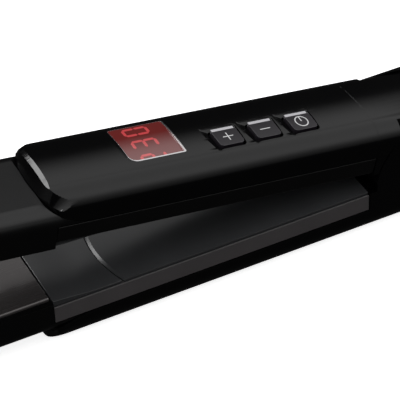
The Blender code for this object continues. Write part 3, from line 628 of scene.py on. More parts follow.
def key_plum():
    """Soft-gloss key top, faintly plum, with finger-polished patches and pale edges: a painted highlight
    along every rounded edge, with a little wear on top.
    """
    f = Finish("key_plum", IOR=1.5)
    wear = f.edge()
    patch = f.noise(3.5, 3.0)
    grain = f.noise(0.16, 2.0)
    colour = f.blend(patch, (0.011, 0.009, 0.012), (0.017, 0.014, 0.019))
    # Painted highlight: every rounded edge is lightened towards pale grey, and a little more where the wear
    # mask falls.
    colour = f.blend(f.rounded() * 0.4 + wear * 0.2, colour, (0.34, 0.33, 0.36))
    return f.done(colour, 0.24 + patch * 0.12 - wear * 0.06, f.bump(grain, 0.003, 0.25))


def key_band():
    """Silvered band along a key's far edge."""
    f = Finish("key_band", IOR=1.5)
    f.set("Metallic", 0.5 + f.noise(5.0, 2.0) * 0.15)
    colour = f.blend(f.noise(2.5, 3.0), (0.58, 0.57, 0.6), (0.74, 0.73, 0.76))
    brush = f.noise(0.3, 2.0, 0.5, stretch=(0.05, 1.0, 1.0))
    return f.done(colour, 0.32 + brush * 0.12, f.bump(brush, 0.002, 0.2))


def sign_print():
    """White printed sign, a little thin and grey at its edges."""
    f = Finish("sign_print", IOR=1.45)
    colour = f.blend(f.noise(0.5, 2.0), (0.62, 0.62, 0.63), (0.86, 0.86, 0.86))
    return f.done(colour, 0.45 + f.noise(0.8, 1.0) * 0.1)


def rubber():
    """Matt rubber with a soft bloom."""
    f = Finish("swivel_rubber", IOR=1.5)
    wear = f.edge()
    bloom = f.noise(5.0, 4.0)
    colour = f.blend(bloom, (0.012, 0.012, 0.012), (0.024, 0.024, 0.025))
    colour = f.blend(wear * 0.4, colour, (0.06, 0.06, 0.06))
    return f.done(colour, 0.55 + bloom * 0.2, f.bump(f.noise(0.3, 3.0), 0.01, 0.4))


def metal(name, dark, light, rough):
    """Drawn or rolled metal with fine lengthwise streaks."""
    f = Finish(name)
    f.set("Metallic", 0.92 + f.noise(7.0, 2.0) * 0.08)
    streak = f.noise(0.4, 3.0, 0.6, stretch=(0.08, 1.0, 1.0))
    colour = f.blend(f.noise(6.0, 3.0), dark, light)
    return f.done(colour, rough + streak * 0.15, f.bump(streak, 0.003, 0.3))


def moulded(name, dark, light, rough, grain=0.5, depth=0.006):
    """A plain moulded, fired or wrapped piece of the works inside."""
    f = Finish(name)
    patch = f.noise(5.0, 3.0)
    return f.done(f.blend(patch, dark, light), rough + patch * 0.14,
                  f.bump(f.noise(grain, 2.0), depth, 0.4))


def circuit_board():
    """Green board with paler copper tracks under the mask."""
    f = Finish("circuit_board")
    tracks = f.node("TexBrick", {"offset": 0.5}, {"Vector": f.place, "Scale": 260.0,
                    "Mortar Size": 0.06, "Color1": (0, 0, 0), "Color2": (0.3, 0.3, 0.3),
                    "Mortar": (1, 1, 1)}, output="Fac")
    colour = f.blend(tracks, (0.012, 0.1, 0.035), (0.05, 0.24, 0.08))
    return f.done(colour, 0.32 + f.noise(4.0, 2.0) * 0.15, f.bump(tracks, 0.02, 0.4))


GLOSS = gloss_black()
SATIN_GREY = satin("satin_grey", (0.085, 0.079, 0.081), (0.13, 0.125, 0.13))
SATIN_BLACK = satin("satin_black", (0.0012, 0.0011, 0.0012), (0.01, 0.01, 0.011), 0.4)
SATIN_PANEL = satin("satin_panel", (0.043, 0.044, 0.046), (0.09, 0.09, 0.093), 0.24)
HEATPROOF = heatproof_black()
PLATE = plate_coating()
GLASS = window_glass()
DIGIT = lit_digit()
RIM = bright_rim()
KEY = key_plum()
BAND = key_band()
SIGN = sign_print()
RUBBER = rubber()
STEEL = metal("steel", (0.42, 0.42, 0.43), (0.62, 0.62, 0.63), 0.22)


# ---------- handle ----------
def climb(u, lift=0.0):
    """Height of the cover's lower edge at a distance from the hinge."""
    run = min(max(u - CLIMB_U, 0.0), CLIMB_LEN)
    return SEAM_W + lift + CLIMB_ROUND - math.sqrt(CLIMB_ROUND ** 2 - run ** 2)


def climb_points(lift, steps=24):
    return [(CLIMB_U + CLIMB_LEN * k / steps, climb(CLIMB_U + CLIMB_LEN * k / steps, lift))
            for k in range(steps + 1)]


def dome_height(v, crown):
    """Height of the cover's outer face above a point across the arm."""
    flat = ARM_HALF - SHOULDER
    if abs(v) <= flat:
        return ARM_TOP - crown * (v / flat) ** 2
    return ARM_TOP - crown - SHOULDER + math.sqrt(max(SHOULDER ** 2 - (abs(v) - flat) ** 2, 0.0))


def rim_slope(crown):
    """Everything behind the shallow slope along the cover's front rim. The slope is widest at
    the middle of the rim and fades out towards both sides."""
    half = ARM_HALF + 0.1
    levels = (HOUSING_TOP - 6, ARM_TOP + 2)
    rings = [[(NECK_U - 5, half, w), (NECK_U - 5, -half, w)] for w in levels]
    count = 3 * PLAN_STEPS
    for k in range(count + 1):
        v = half * (2 * k / count - 1)
        share = abs(v) / half
        top = dome_height(v, crown)
        climbed = max(top - HOUSING_TOP, 0.0) / (ARM_TOP - HOUSING_TOP)
        foot = COVER_END - foot_fall(share)
        front = foot + (COVER_END - COVER_RAKE - rim_fall(share) - foot) * climbed
        fade = smooth_step((v + FADE_NEAR) / FADE_NEAR_LEN)
        fade *= smooth_step((FADE_FAR - v) / FADE_FAR_LEN)
        back = front + RIM_CLEAR - (RIM_SLOPE + RIM_CLEAR) * fade
        for ring, w in zip(rings, levels):
            ring.append((back + (top - w) / RIM_GRADE, v, w))
    return loft(rings)


def cover_edge_width(middle):
    """The seam against the neck is nearly closed, and the rim's slope keeps its crisp edges."""
    if middle.x < NECK_U + 0.1:
        return SEAM_EASE
    if middle.x > COVER_END - RIM_ZONE and middle.z > HOUSING_TOP + 1.0:
        return RIM_EASE
    return None


def handle_cover(arm, crown, openings=()):
    start = NECK_U - GAP + 0.05
    section = dome_section(ARM_HALF, SEAM_W, ARM_TOP, SHOULDER, crown)
    half = ARM_HALF + 0.1
    foot = front_plan(NECK_U - 5, COVER_END, half, foot_fall)
    rim = front_plan(NECK_U - 5, COVER_END - COVER_RAKE, half, rim_fall)
    rings = [[(u, v, w) for u, v in foot] for w in (SEAM_W - 5, HOUSING_TOP)]
    reach = 1.2    # the front is drawn on above the top, so that the cut goes right through
    rings.append([(a[0] + (b[0] - a[0]) * reach, a[1], HOUSING_TOP + (ARM_TOP - HOUSING_TOP) * reach)
                  for a, b in zip(foot, rim)])
    hollow = dome_section(ARM_HALF - WALL, SEAM_W - 1, ARM_TOP - WALL, SHOULDER - WALL, crown)
    under = [(CLIMB_U - 4, SEAM_W - 4), (CLIMB_U - 4, SEAM_W)] + climb_points(0.0)
    under += [(COVER_END + 6, HOUSING_TOP + GAP), (COVER_END + 6, SEAM_W - 4)]
    steps = [(KEEP, loft(rings)), (KEEP, rim_slope(crown)),
             (CUT, along(hollow, NECK_U - 1, COVER_END - COVER_RAKE - 2 * WALL)),
             (CUT, across(under, ARM_HALF + 3))]
    stations = [COVER_END - STATION_STEP * k for k in range(STATION_COUNT, 0, -1)]
    stations = [start] + stations + [COVER_END + 5]
    mesh = carved(along(section, *stations), steps + list(openings))
    return settle(arm.name + "_handle_cover", eased(mesh, EASE, cover_edge_width), arm, GLOSS,
                  "gloss_black", arm.body, arm.name + "_cover", flat_degrees=28)


def handle_tray(arm, finish):
    """The inner half of the handle: a tray whose low rim frames the panel and the bridge."""
    rim = SHELL_LOW.z
    lip = PANEL_HALF + GAP
    floor = FACE_W + PANEL_THICK + GAP
    section = [(-ARM_HALF, SEAM_W - GAP), (-ARM_HALF + LEAN, rim),
               (-lip, rim), (-lip, floor), (lip, floor), (lip, rim),
               (ARM_HALF - LEAN, rim), (ARM_HALF, SEAM_W - GAP),
               (ARM_HALF - WALL, SEAM_W - GAP), (ARM_HALF - WALL, floor + WALL),
               (-ARM_HALF + WALL, floor + WALL), (-ARM_HALF + WALL, SEAM_W - GAP)]
    mesh = carved(along(section, SHELL_LOW.x, SHELL_HIGH.x), [])
    return settle(arm.name + "_handle_tray", eased(mesh, FINE_EASE), arm, finish,
                  "satin_grey", arm.body, arm.name + "_inner_shell")


def inner_panel(arm):
    """The flat inner face, with a slope round its bowed front end."""
    levels = ((FACE_W, RING_U - RING_SLOPE), (FACE_W + RING_FALL, RING_U),
              (FACE_W + PANEL_THICK, RING_U))
    mesh = carved(loft([[(u, v, w) for u, v in bowed_end(PANEL_LOW.x, end, RING_BOW, PANEL_HALF)]
                        for w, end in levels]), [])
    return settle(arm.name + "_panel_plate", eased(mesh, 0.06), arm, SATIN_PANEL,
                  "satin_grey", arm.body, arm.name + "_inner_panel", flat_degrees=20)


def bridge(arm):
    """The piece between the panel and the plate, rising to the level of the plate."""
    start = RING_U - RING_BOW - 1
    steps = 24
    profile = [(start, FACE_W)]
    for k in range(steps + 1):
        t = k / steps
        profile.append((PLATE_U - RISE_LEN * (1 - t), FACE_W + (EDGE_W - FACE_W) * smooth_step(t)))
    profile += [(PLATE_U, FACE_W + PANEL_THICK), (start, FACE_W + PANEL_THICK)]
    rear = bowed_end(NECK_U, RING_U + GAP, RING_BOW, PANEL_HALF)
    room = upright([(u, v * 1.1) for u, v in rear], EDGE_W - 4, SEAM_W + 4)
    mesh = carved(across(profile, PANEL_HALF), [(CUT, room)])

    def front_edge(middle):
        return 0.3 if middle.x > PLATE_U - 0.1 and middle.z < EDGE_W + 0.2 else None

    return settle(arm.name + "_bridge_plate", eased(mesh, FINE_EASE, front_edge), arm, SATIN_PANEL,
                  "satin_grey", arm.body, arm.name + "_bridge")


# ---------- plate end ----------
def housing(arm):
    """The channel that holds a plate and its heater."""
    section = dome_section(ARM_HALF, EDGE_W, HOUSING_TOP, HOUSING_ROUND)
    lid = [(CLIMB_U - 2, HOUSING_TOP + 6), (CLIMB_U - 2, climb(CLIMB_U) - GAP)]
    lid += climb_points(-GAP)[1:-1]
    lid += [(CLIMB_U + CLIMB_LEN, HOUSING_TOP), (CLIMB_U + CLIMB_LEN, HOUSING_TOP + 6)]
    plate_half = PLATE_HIGH.y
    hollow = dome_section(plate_half + GAP, EDGE_W - 2, HOUSING_TOP - WALL, HOUSING_ROUND - WALL)
    steps = [(CUT, across(lid, ARM_HALF + 3)),
             (CUT, block(CLIMB_U - 3, PLATE_U + GAP, -ARM_HALF - 3, ARM_HALF + 3,
                         EDGE_W - 3, SEAM_W)),
             (CUT, along(hollow, CLIMB_U - 3, HOUSING_END + 3))]
    mesh = carved(along(section, CLIMB_U, HOUSING_END), steps)
    return settle(arm.name + "_housing_channel", eased(mesh, EASE), arm, HEATPROOF,
                  "heatproof_black", arm.body, arm.name + "_plate_housing")


def tip(arm):
    """The rounded end of an arm."""
    start = HOUSING_END + GAP
    length = TIP_HIGH.x - start
    steps = 20
    rings = []
    for k in range(steps + 1):
        angle = math.radians(TIP_TURN * k / steps)
        shrink = length * TIP_SHRINK * (1 - math.cos(angle))
        section = dome_section(ARM_HALF - shrink, EDGE_W + TIP_LIFT * shrink,
                               HOUSING_TOP - shrink, HOUSING_ROUND - TIP_ROUND_LOSS * shrink)
        rings.append([(start + length * math.sin(angle), v, w) for v, w in section])
    mesh = carved(loft(rings), [])
    return settle(arm.name + "_tip_end", eased(mesh, EASE), arm, HEATPROOF,
                  "heatproof_black", arm.body, arm.name + "_tip_cap")


def heated_plate(arm):
    """The plate, with eased long edges on its face and two ribs on its back."""
    half = PLATE_HIGH.y
    face = PLATE_LOW.z
    back = face + PLATE_THICK
    section = ([(half, back), (-half, back)]
               + arc(-half + PLATE_EASE, face + PLATE_EASE, PLATE_EASE, 180, 270, 8)
               + arc(half - PLATE_EASE, face + PLATE_EASE, PLATE_EASE, 270, 360, 8))
    ribs = [(JOIN, block(PLATE_LOW.x + RIB_END, PLATE_HIGH.x - RIB_END, v, v + RIB_WIDE,
                         back - 0.5, PLATE_HIGH.z))
            for v in RIB_PLACES]
    mesh = carved(along(section, PLATE_LOW.x, PLATE_HIGH.x), ribs)
    return settle(arm.name + "_plate_face", eased(mesh, EASE), arm, PLATE,
                  "plate_coating", arm.plate_body, arm.name + "_plate")


# ---------- hinge ----------
def hinge_profile():
    """Side profile of the drum and the cheeks: a disc that runs on into the arm."""
    start = math.degrees(math.asin(FACE_W / DRUM_RADIUS))
    profile = arc(0.0, 0.0, DRUM_RADIUS, start, -270, 96)
    return profile + [(NECK_U - GAP, ARM_TOP), (NECK_U - GAP, FACE_W)]


def neck_tongue():
    return block(NECK_U - 2, NECK_U + TONGUE_LEN, -TONGUE_HALF, TONGUE_HALF,
                 TONGUE_W, TONGUE_W + TONGUE_THICK)


def pin_bore(half):
    return turned_v([(-half, PIN_ROOM), (half, PIN_ROOM)], sides=40)


def drum():
    """The neck of the upper arm, ending in the drum between the cheeks."""
    room = DRUM_RADIUS + DRUM_CLEAR
    section = dome_section(ARM_HALF, -ARM_TOP - 1, ARM_TOP, SHOULDER, CROWN)
    steps = [(KEEP, along(section, -TAIL_BACK - 5, NECK_U + 5)), (JOIN, neck_tongue())]
    for s in (-1, 1):
        ends = sorted((s * DRUM_HALF, s * (ARM_HALF + 2)))
        steps.append((CUT, turned_v([(ends[0], room), (ends[1], room)])))
        steps.append((CUT, block(-room, NECK_START, ends[0], ends[1], -room, room)))
    steps.append((CUT, pin_bore(DRUM_HALF + 2)))
    mesh = carved(across(hinge_profile(), ARM_HALF), steps)
    return settle("hinge_drum_shell", eased(mesh, EASE), UPPER, GLOSS, "gloss_black",
                  "upper_arm", "hinge_drum")


def tail():
    """The closed rear of the yoke, narrowing to a round boss for the cord sleeve."""
    rings = []
    steps = 22
    for k in range(steps + 1):
        t = k / steps
        ease = smooth_step(t)
        half = TAIL_WIDE + (TAIL_RADIUS - TAIL_WIDE) * ease
        tall = TAIL_TALL + (TAIL_RADIUS - TAIL_TALL) * ease
        corner = TAIL_ROUND + (TAIL_RADIUS - 0.01 - TAIL_ROUND) * ease
        rings.append([(-TAIL_BACK * t, v, w)
                      for v, w in rounded_rect(-half, half, -tall, tall, corner, 14)])
    return loft(rings)


def yoke():
    """The neck of the lower arm: two cheeks and the tail."""
    room = DRUM_RADIUS + DRUM_CLEAR
    section = rounded_rect(-ARM_HALF, ARM_HALF, -ARM_TOP, ARM_TOP, SHOULDER, 16)
    steps = [(KEEP, along(section, -TAIL_BACK - 5, NECK_U + 5)), (JOIN, neck_tongue()),
             (JOIN, tail()),
             (CUT, turned_v([(-DRUM_HALF - DRUM_CLEAR, room), (DRUM_HALF + DRUM_CLEAR, room)])),
             (CUT, pin_bore(ARM_HALF + 2))]
    cap_room = CAP_HIGH.x + 0.2
    for s in (-1, 1):
        ends = sorted((s * (CAP_LOW.y - 0.1), s * (ARM_HALF + 2)))
        steps.append((CUT, turned_v([(ends[0], cap_room), (ends[1], cap_room)])))
    shaft, flange = SLEEVE_SHAFT + GAP, SLEEVE_FLANGE + GAP
    seat = DRUM_RADIUS + DRUM_CLEAR + 2 * GAP + FLANGE_THICK
    steps.append((CUT, turned_u([(-room + 3, shaft), (-TAIL_BACK - 2, shaft)])))
    steps.append((CUT, turned_u([(-room + 3, flange), (-seat, flange)])))
    mesh = carved(across(hinge_profile(), ARM_HALF), steps)
    return settle("hinge_yoke_shell", eased(mesh, EASE), LOWER, GLOSS, "gloss_black",
                  "lower_arm", "hinge_yoke")


def hinge_cap(side, name):
    """A shallow dished cap over the pin's end."""
    inner, outer = sorted((abs(CAP_LOW.y), abs(CAP_HIGH.y)))
    radius = CAP_HIGH.x
    lip, dish = 0.35, 0.25
    stations = [(inner, radius), (outer - lip, radius), (outer, radius - lip),
                (outer - 0.001, radius - 1.1), (outer - dish, radius - 1.5), (outer - 0.2, 0.6)]
    stations = [(v * side, r) for v, r in stations]
    mesh = carved(turned_v(stations, 72), [])
    return settle("hinge_cap_disc_" + name, eased(mesh, 0.05), LOWER, SATIN_GREY, "satin_grey",
                  "lower_arm", "hinge_cap_" + name)


def cord_sleeve():
    """The turning sleeve where the cord goes in, with grip rings round its taper."""
    collar = -(TAIL_BACK + GAP)
    end = SLEEVE_LOW.x
    wide = SLEEVE_HIGH.y
    start = SLEEVE_HIGH.x
    shaft_start = start - FLANGE_THICK - 0.01
    stations = [(start, SLEEVE_FLANGE), (start - FLANGE_THICK, SLEEVE_FLANGE),
                (shaft_start, SLEEVE_SHAFT), (collar + 0.01, SLEEVE_SHAFT),
                (collar, wide - 0.3), (collar - 0.3, wide), (collar - 2.6, wide)]
    rings = 4
    pitch = (abs(end - collar) - 3.6) / rings
    for k in range(rings):
        top = wide - 0.15 - (wide - 6.2) * (k + 0.5) / rings
        at = collar - 2.7 - pitch * k
        stations += [(at - 0.1, top - 0.7), (at - pitch * 0.35, top - 0.7),
                     (at - pitch * 0.45, top), (at - pitch * 0.95, top - 0.25)]
    stations += [(end + 0.5, 5.9), (end, 5.4)]
    bore = turned_u([(start + 3, SLEEVE_BORE), (end - 3, SLEEVE_BORE)], sides=40)
    mesh = carved(turned_u(stations), [(CUT, bore)])
    return settle("cord_sleeve_grip", eased(mesh, 0.1), LOWER, RUBBER, "swivel_rubber",
                  "cord_sleeve", "cord_swivel")


# ---------- display ----------
def window_corners(grow, heavy=0.0):
    """The window's outline, with one corner cut rounder than the others. The rim is heavier
    on the hinge side and the near side."""
    inset = GAP / 2
    u0, u1 = GLASS_LOW.x - grow - inset - heavy, GLASS_HIGH.x + grow + inset
    v0, v1 = GLASS_LOW.y - grow - inset - heavy, GLASS_HIGH.y + grow + inset
    return [(u1, v1, GLASS_CORNER + grow), (u0, v1, GLASS_CORNER + grow),
            (u0, v0, GLASS_CORNER + grow), (u1, v0, GLASS_CUT_CORNER + grow)]


def crowned_block(sunk, thick):
    """A block that follows the cover's crowned top, a little below it."""
    section = dome_section(ARM_HALF, ARM_TOP - sunk - thick - 6, ARM_TOP - sunk, SHOULDER, CROWN)
    return along(section, GLASS_LOW.x - 8, GLASS_HIGH.x + 8)


def glass_block(lift):
    """Everything below the glass's face, which leans back and bows a little across the arm."""
    middle = (GLASS_LOW.y + GLASS_HIGH.y) / 2
    low = ARM_TOP - 6
    section = [(GLASS_LOW.y - 2, low), (GLASS_HIGH.y + 2, low)]
    for k in range(CROWN_STEPS + 1):
        v = GLASS_HIGH.y + 2 - (GLASS_HIGH.y - GLASS_LOW.y + 4) * k / CROWN_STEPS
        rise = GLASS_LEAN * (v - middle) - GLASS_BOW * (v - middle) ** 2
        section.append((v, ARM_TOP - GLASS_SUNK + lift + rise))
    return along(section, GLASS_LOW.x - 8, GLASS_HIGH.x + 8)


def window():
    pane = upright(filleted(window_corners(-0.02)), GLASS_LOW.z, ARM_TOP + 1)
    mesh = carved(pane, [(KEEP, glass_block(0.0))])
    return settle("window_pane", eased(mesh, 0.04), UPPER, GLASS, "window_red",
                  "upper_arm", "display_window")


def window_rim():
    """A thin bright ring whose inner edge slopes down to the glass."""
    low = ARM_TOP - 2.0
    ring = upright(filleted(window_corners(BEZEL_RING, BEZEL_HEAVY)), low, ARM_TOP + 1)
    narrow, wide = filleted(window_corners(0.02)), filleted(window_corners(BEZEL_RING - 0.1))
    heights = [(ARM_TOP - 4, narrow), (ARM_TOP - CROWN - GLASS_SUNK - 0.3, narrow),
               (ARM_TOP - CROWN * 0.2, wide), (ARM_TOP + 2, wide)]
    opening = loft([[(u, v, w) for u, v in outline] for w, outline in heights])
    mesh = carved(ring, [(KEEP, crowned_block(0.02, 4)), (CUT, opening)])
    return settle("window_rim_ring", eased(mesh, 0.03), UPPER, RIM, "window_rim",
                  "upper_arm", "window_bezel")


def segment(along_u, centre, length):
    """One bar of a digit, pointed at both ends, as (u, v) corners."""
    half = DIGIT_STROKE / 2
    shape = [(-length / 2, 0), (-length / 2 + half, half), (length / 2 - half, half),
             (length / 2, 0), (length / 2 - half, -half), (-length / 2 + half, -half)]
    if along_u:
        return [(centre[0] + a, centre[1] + b) for a, b in shape]
    return [(centre[0] + b, centre[1] + a) for a, b in shape]


LIT = {"2": "abged", "3": "abgcd", "0": "abcdef"}


def digit_bars(sign, u, v):
    """The lit bars of a digit that stands along u, with its right side at the higher v."""
    tall, wide = (DIGIT_TALL - DIGIT_STROKE) / 2, (DIGIT_WIDE - DIGIT_STROKE) / 2
    long_bar, short_bar = tall - DIGIT_GAP, 2 * wide - DIGIT_GAP
    places = {"a": (False, (u + tall, v), short_bar), "g": (False, (u, v), short_bar),
              "d": (False, (u - tall, v), short_bar),
              "b": (True, (u + tall / 2, v + wide), long_bar),
              "c": (True, (u - tall / 2, v + wide), long_bar),
              "f": (True, (u + tall / 2, v - wide), long_bar),
              "e": (True, (u - tall / 2, v - wide), long_bar)}
    return [segment(*places[bar]) for bar in LIT[sign]]


def digits():
    """Three lit numerals, one by one nearer the far side, trimmed to the window."""
    for k, sign in enumerate("230"):
        v = DIGIT_V + DIGIT_PITCH * k
        bars = [upright(bar, ARM_TOP - 3, ARM_TOP + 1) for bar in digit_bars(sign, DIGIT_U, v)]
        skin = glass_block(DIGIT_SKIN)
        inner = glass_block(-DIGIT_SKIN)
        fence = upright(filleted(window_corners(-DIGIT_MARGIN)), ARM_TOP - 4, ARM_TOP + 2)
        steps = [(JOIN, bar) for bar in bars[1:]]
        steps += [(KEEP, fence), (KEEP, skin), (CUT, inner)]
        mesh = carved(bars[0], steps)
        settle("digit_" + sign, mesh, UPPER, DIGIT, "display_block", "upper_arm")


# ---------- keys ----------
KEYS = (("plus", "plus_button", "plus_key"), ("minus", "minus_button", "minus_key"),
        ("power", "power_button", "power_key"))


def key_size(node):
    """Middle, half width and top of a key."""
    low, high = UPPER.span(node)
    return (low.x + high.x) / 2, (low.y + high.y) / 2, (high.y - low.y) / 2, high.z


def key_pocket(node):
    """The scoop round a key: a steep wall, then a shelf that slopes to the hole. It is widest
    on the tip side, where it runs out to a point at the near corner."""
    u, v, half, _ = key_size(node)
    half += KEY_FIT
    # Each corner: its place along and across the arm from the key's middle, and its round.
    outer = [(half + 2.3, half + 1.3, 0.5), (half + 2.0, 0.4, 9.0),
             (half + 1.2, -half - 2.0, 0.15), (half - 0.1, -half - 0.4, 0.7),
             (-half - 0.35, -half - 0.3, 1.2), (-half - 0.6, half + 0.7, 1.0)]
    inner = [(half, half, 1.0), (half, 0.0, 1.0), (half, -half, 0.5), (half - 1.6, -half, 1.0),
             (-half, -half, 1.0), (-half, half, 1.0)]
    outer = [(u + a, v + b, r) for a, b, r in outer]
    inner = [(u + a, v + b, r) for a, b, r in inner]
    wide, narrow = filleted(outer, 10), filleted(inner, 10)
    far, near = 0.76, 0.24    # how much the shelf's rim takes from the outer and inner outlines
    shelf = [(a[0] * far + b[0] * near, a[1] * far + b[1] * near) for a, b in zip(wide, narrow)]
    levels = [(ARM_TOP + 2, wide), (ARM_TOP - 0.12, wide), (ARM_TOP - POCKET_SHELF, shelf),
              (ARM_TOP - POCKET_DEEP, narrow)]
    return loft([[(a, b, w) for a, b in outline] for w, outline in levels])


def cover_openings():
    """The window, the scoops and the key holes of the upper cover."""
    steps = [(CUT, upright(filleted(window_corners(BEZEL_RING + 0.03, BEZEL_HEAVY)),
                           ARM_TOP - 7, ARM_TOP + 3))]
    for _, node, _ in KEYS:
        u, v, half, _ = key_size(node)
        half += KEY_FIT
        hole = rounded_rect(u - half, u + half, v - half, v + half, 1.0)
        steps.append((CUT, key_pocket(node)))
        steps.append((CUT, upright(hole, ARM_TOP - 7, ARM_TOP - POCKET_DEEP / 2)))
    return steps


def under_face(node, lift=0.0):
    """Everything below a key's face, which curves down to the near side."""
    u, v, half, top = key_size(node)
    near, far = v - half - 1, v + half + 1
    section = [(near, top - 6), (far, top - 6), (far, top + lift)]
    steps = 24
    for k in range(steps + 1):
        at = v + half - (2 * half + 1) * k / steps
        section.append((at, top + lift - KEY_FALL * ((v + half - at) / (2 * half)) ** 2))
    return along(section, u - half - 1, u + half + 1)


def key_cap(node, body, name):
    """A square key whose face curves down to its near side, with a seat for its band."""
    u, v, half, top = key_size(node)
    body_block = upright(rounded_rect(u - half, u + half, v - half, v + half, KEY_ROUND),
                         ARM_TOP - 2.9, top + 1)
    seat = block(u - half - 1, u + half + 1, v + half - BAND_WIDE, v + half + 1,
                 top - BAND_DEEP, top + 2)
    mesh = carved(body_block, [(KEEP, under_face(node)), (CUT, seat)])
    return settle(name + "_key_cap", eased(mesh, 0.3), UPPER, KEY, "key_plum", body, node)


def key_edge_band(node, body, name):
    """The pale band along the far edge of a key."""
    u, v, half, top = key_size(node)
    near, far = v + half - BAND_WIDE + 0.05, v + half - 0.03
    low = top - BAND_DEEP + 0.01
    profile = [(near, low), (near, top - 0.14), (far - 0.3, top - 0.03), (far, top - 0.3),
               (far, low)]
    mesh = carved(along(profile, u - half + 0.35, u + half - 0.35), [])
    return settle(name + "_key_band", eased(mesh, 0.07), UPPER, BAND, "window_rim", body)


def key_sign(node, body, name):
    """The generic white sign on a key, printed on its face."""
    u, v, half, top = key_size(node)
    v -= SIGN_SHIFT
    w0, w1 = top - 3, top + 1
    bar = SIGN_STROKE / 2
    if name == "power":
        outer, inner = [upright([(a, v + (b - v) * SIGN_TALL)
                                 for a, b in arc(u, v, r, 0, 354, 59)], w0 - k, w1 + k)
                        for k, r in ((0.0, SIGN_RING), (0.5, SIGN_RING - SIGN_STROKE))]
        top_v = v + (SIGN_RING - bar) * SIGN_TALL
        steps = [(CUT, inner), (JOIN, block(u - bar, u + bar, v, top_v, w0, w1))]
        blank = outer
    else:
        blank = block(u - SIGN_HALF, u + SIGN_HALF, v - bar, v + bar, w0, w1)
        steps = []
        if name == "plus":
            steps.append((JOIN, block(u - bar, u + bar, v - SIGN_HALF, v + SIGN_HALF, w0, w1)))
    steps += [(KEEP, under_face(node, DIGIT_SKIN)), (CUT, under_face(node, -0.2))]
    mesh = carved(blank, steps)
    return settle(name + "_key_sign", eased(mesh, 0.01, segments=1), UPPER, SIGN, "key_plum", body)


# ---------- the works inside ----------
def works_finishes():
    """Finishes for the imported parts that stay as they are."""
    ceramic = moulded("heater_ceramic", (0.62, 0.58, 0.5), (0.82, 0.79, 0.72), 0.5)
    silicone = moulded("silicone", (0.4, 0.07, 0.045), (0.56, 0.12, 0.08), 0.5, 0.8, 0.01)
    bead = moulded("sensor_glass", (0.24, 0.12, 0.05), (0.4, 0.22, 0.1), 0.06, 2.0, 0.003)
    wire = moulded("wire_sleeve", (0.6, 0.57, 0.5), (0.78, 0.74, 0.66), 0.42, 0.4, 0.02)
    lamp = moulded("display_block", (0.3, 0.012, 0.012), (0.5, 0.03, 0.03), 0.28, 1.2, 0.004)
    board = circuit_board()
    switch = moulded("switch_black", (0.016, 0.016, 0.017), (0.034, 0.034, 0.035), 0.42)
    relay = moulded("relay_blue", (0.015, 0.06, 0.26), (0.03, 0.11, 0.42), 0.32)
    sleeve = moulded("capacitor_sleeve", (0.01, 0.014, 0.08), (0.02, 0.03, 0.14), 0.24)
    finishes = {"hinge_pin": STEEL, "hinge_spring": STEEL, "thermal_fuse": STEEL,
                "power_board": board, "control_board": board, "power_relay": relay,
                "power_capacitor": sleeve, "display_module": lamp,
                "plus_switch": switch, "minus_switch": switch, "power_switch": switch}
    for arm in ARMS:
        for part, finish in (("heater", ceramic), ("heater_clamp", STEEL), ("front_pad", silicone),
                             ("rear_pad", silicone), ("temperature_sensor", bead),
                             ("lead_left", wire), ("lead_right", wire),
                             ("screw_left", STEEL), ("screw_right", STEEL)):
            finishes[arm.name + "_" + part] = finish
    for node, finish in finishes.items():
        slots = frame["nodes"][node].data.materials
        for k in range(len(slots)):
            slots[k] = finish


# ---------- assembly ----------
def build_object():
    handle_cover(LOWER, 0.0)
    handle_cover(UPPER, CROWN, cover_openings())
    handle_tray(LOWER, SATIN_GREY)
    handle_tray(UPPER, SATIN_BLACK)
    for arm in ARMS:
        inner_panel(arm)
        bridge(arm)
        housing(arm)
        tip(arm)
        heated_plate(arm)
    drum()
    yoke()
    hinge_cap(-1, "left")
    hinge_cap(1, "right")
    cord_sleeve()
    window()
    window_rim()
    digits()
    for name, node, body in KEYS:
        key_cap(node, body, name)
        key_edge_band(node, body, name)
        key_sign(node, body, name)
    works_finishes()


# ---------- studio ----------
VIEW_TURN = math.radians(27.86)
VIEW_DROP = math.radians(41.32)
VIEW_DISTANCE = 0.6093
VIEW_LENS = 193.8
VIEW_AIM = Vector((-0.06818, -0.00139, 0.00489))   # from the hinge axis


def camera():
    forward = Vector((math.sin(VIEW_TURN) * math.cos(VIEW_DROP),
                      math.cos(VIEW_TURN) * math.cos(VIEW_DROP), -math.sin(VIEW_DROP)))
    data = bpy.data.cameras.new("studio_camera")
    data.lens = VIEW_LENS
    data.sensor_width = 36.0
    data.clip_start = 0.01
    data.clip_end = 100.0
    eye = bpy.data.objects.new("studio_camera", data)
    bpy.context.scene.collection.objects.link(eye)
    eye.location = HINGE + VIEW_AIM - forward * VIEW_DISTANCE
    eye.rotation_euler = forward.to_track_quat("-Z", "Y").to_euler()
    bpy.context.scene.camera = eye


def softbox(name, centre, aim, width, height, radiance):
    """A soft light panel that is seen in the gloss but not by the camera."""
    data = bpy.data.lights.new(name, "AREA")
    data.shape = "RECTANGLE"
    data.size = width
    data.size_y = height
    data.energy = radiance * math.pi * width * height
    panel = bpy.data.objects.new(name, data)
    bpy.context.scene.collection.objects.link(panel)
    panel.location = centre
    panel.rotation_euler = (Vector(aim) - Vector(centre)).to_track_quat("-Z", "Y").to_euler()
    panel.visible_camera = False


# Brightness of the overhead panel, by the angle in degrees above the far horizon.
PANEL_SHADES = ((33, 0.0), (38, 0.22), (42, 0.45), (47, 0.74), (53, 0.9), (85, 0.94), (112, 1.06),
                (124, 1.08), (132, 0.9), (140, 0.6), (148, 0.36), (158, 0.2), (170, 0.0))


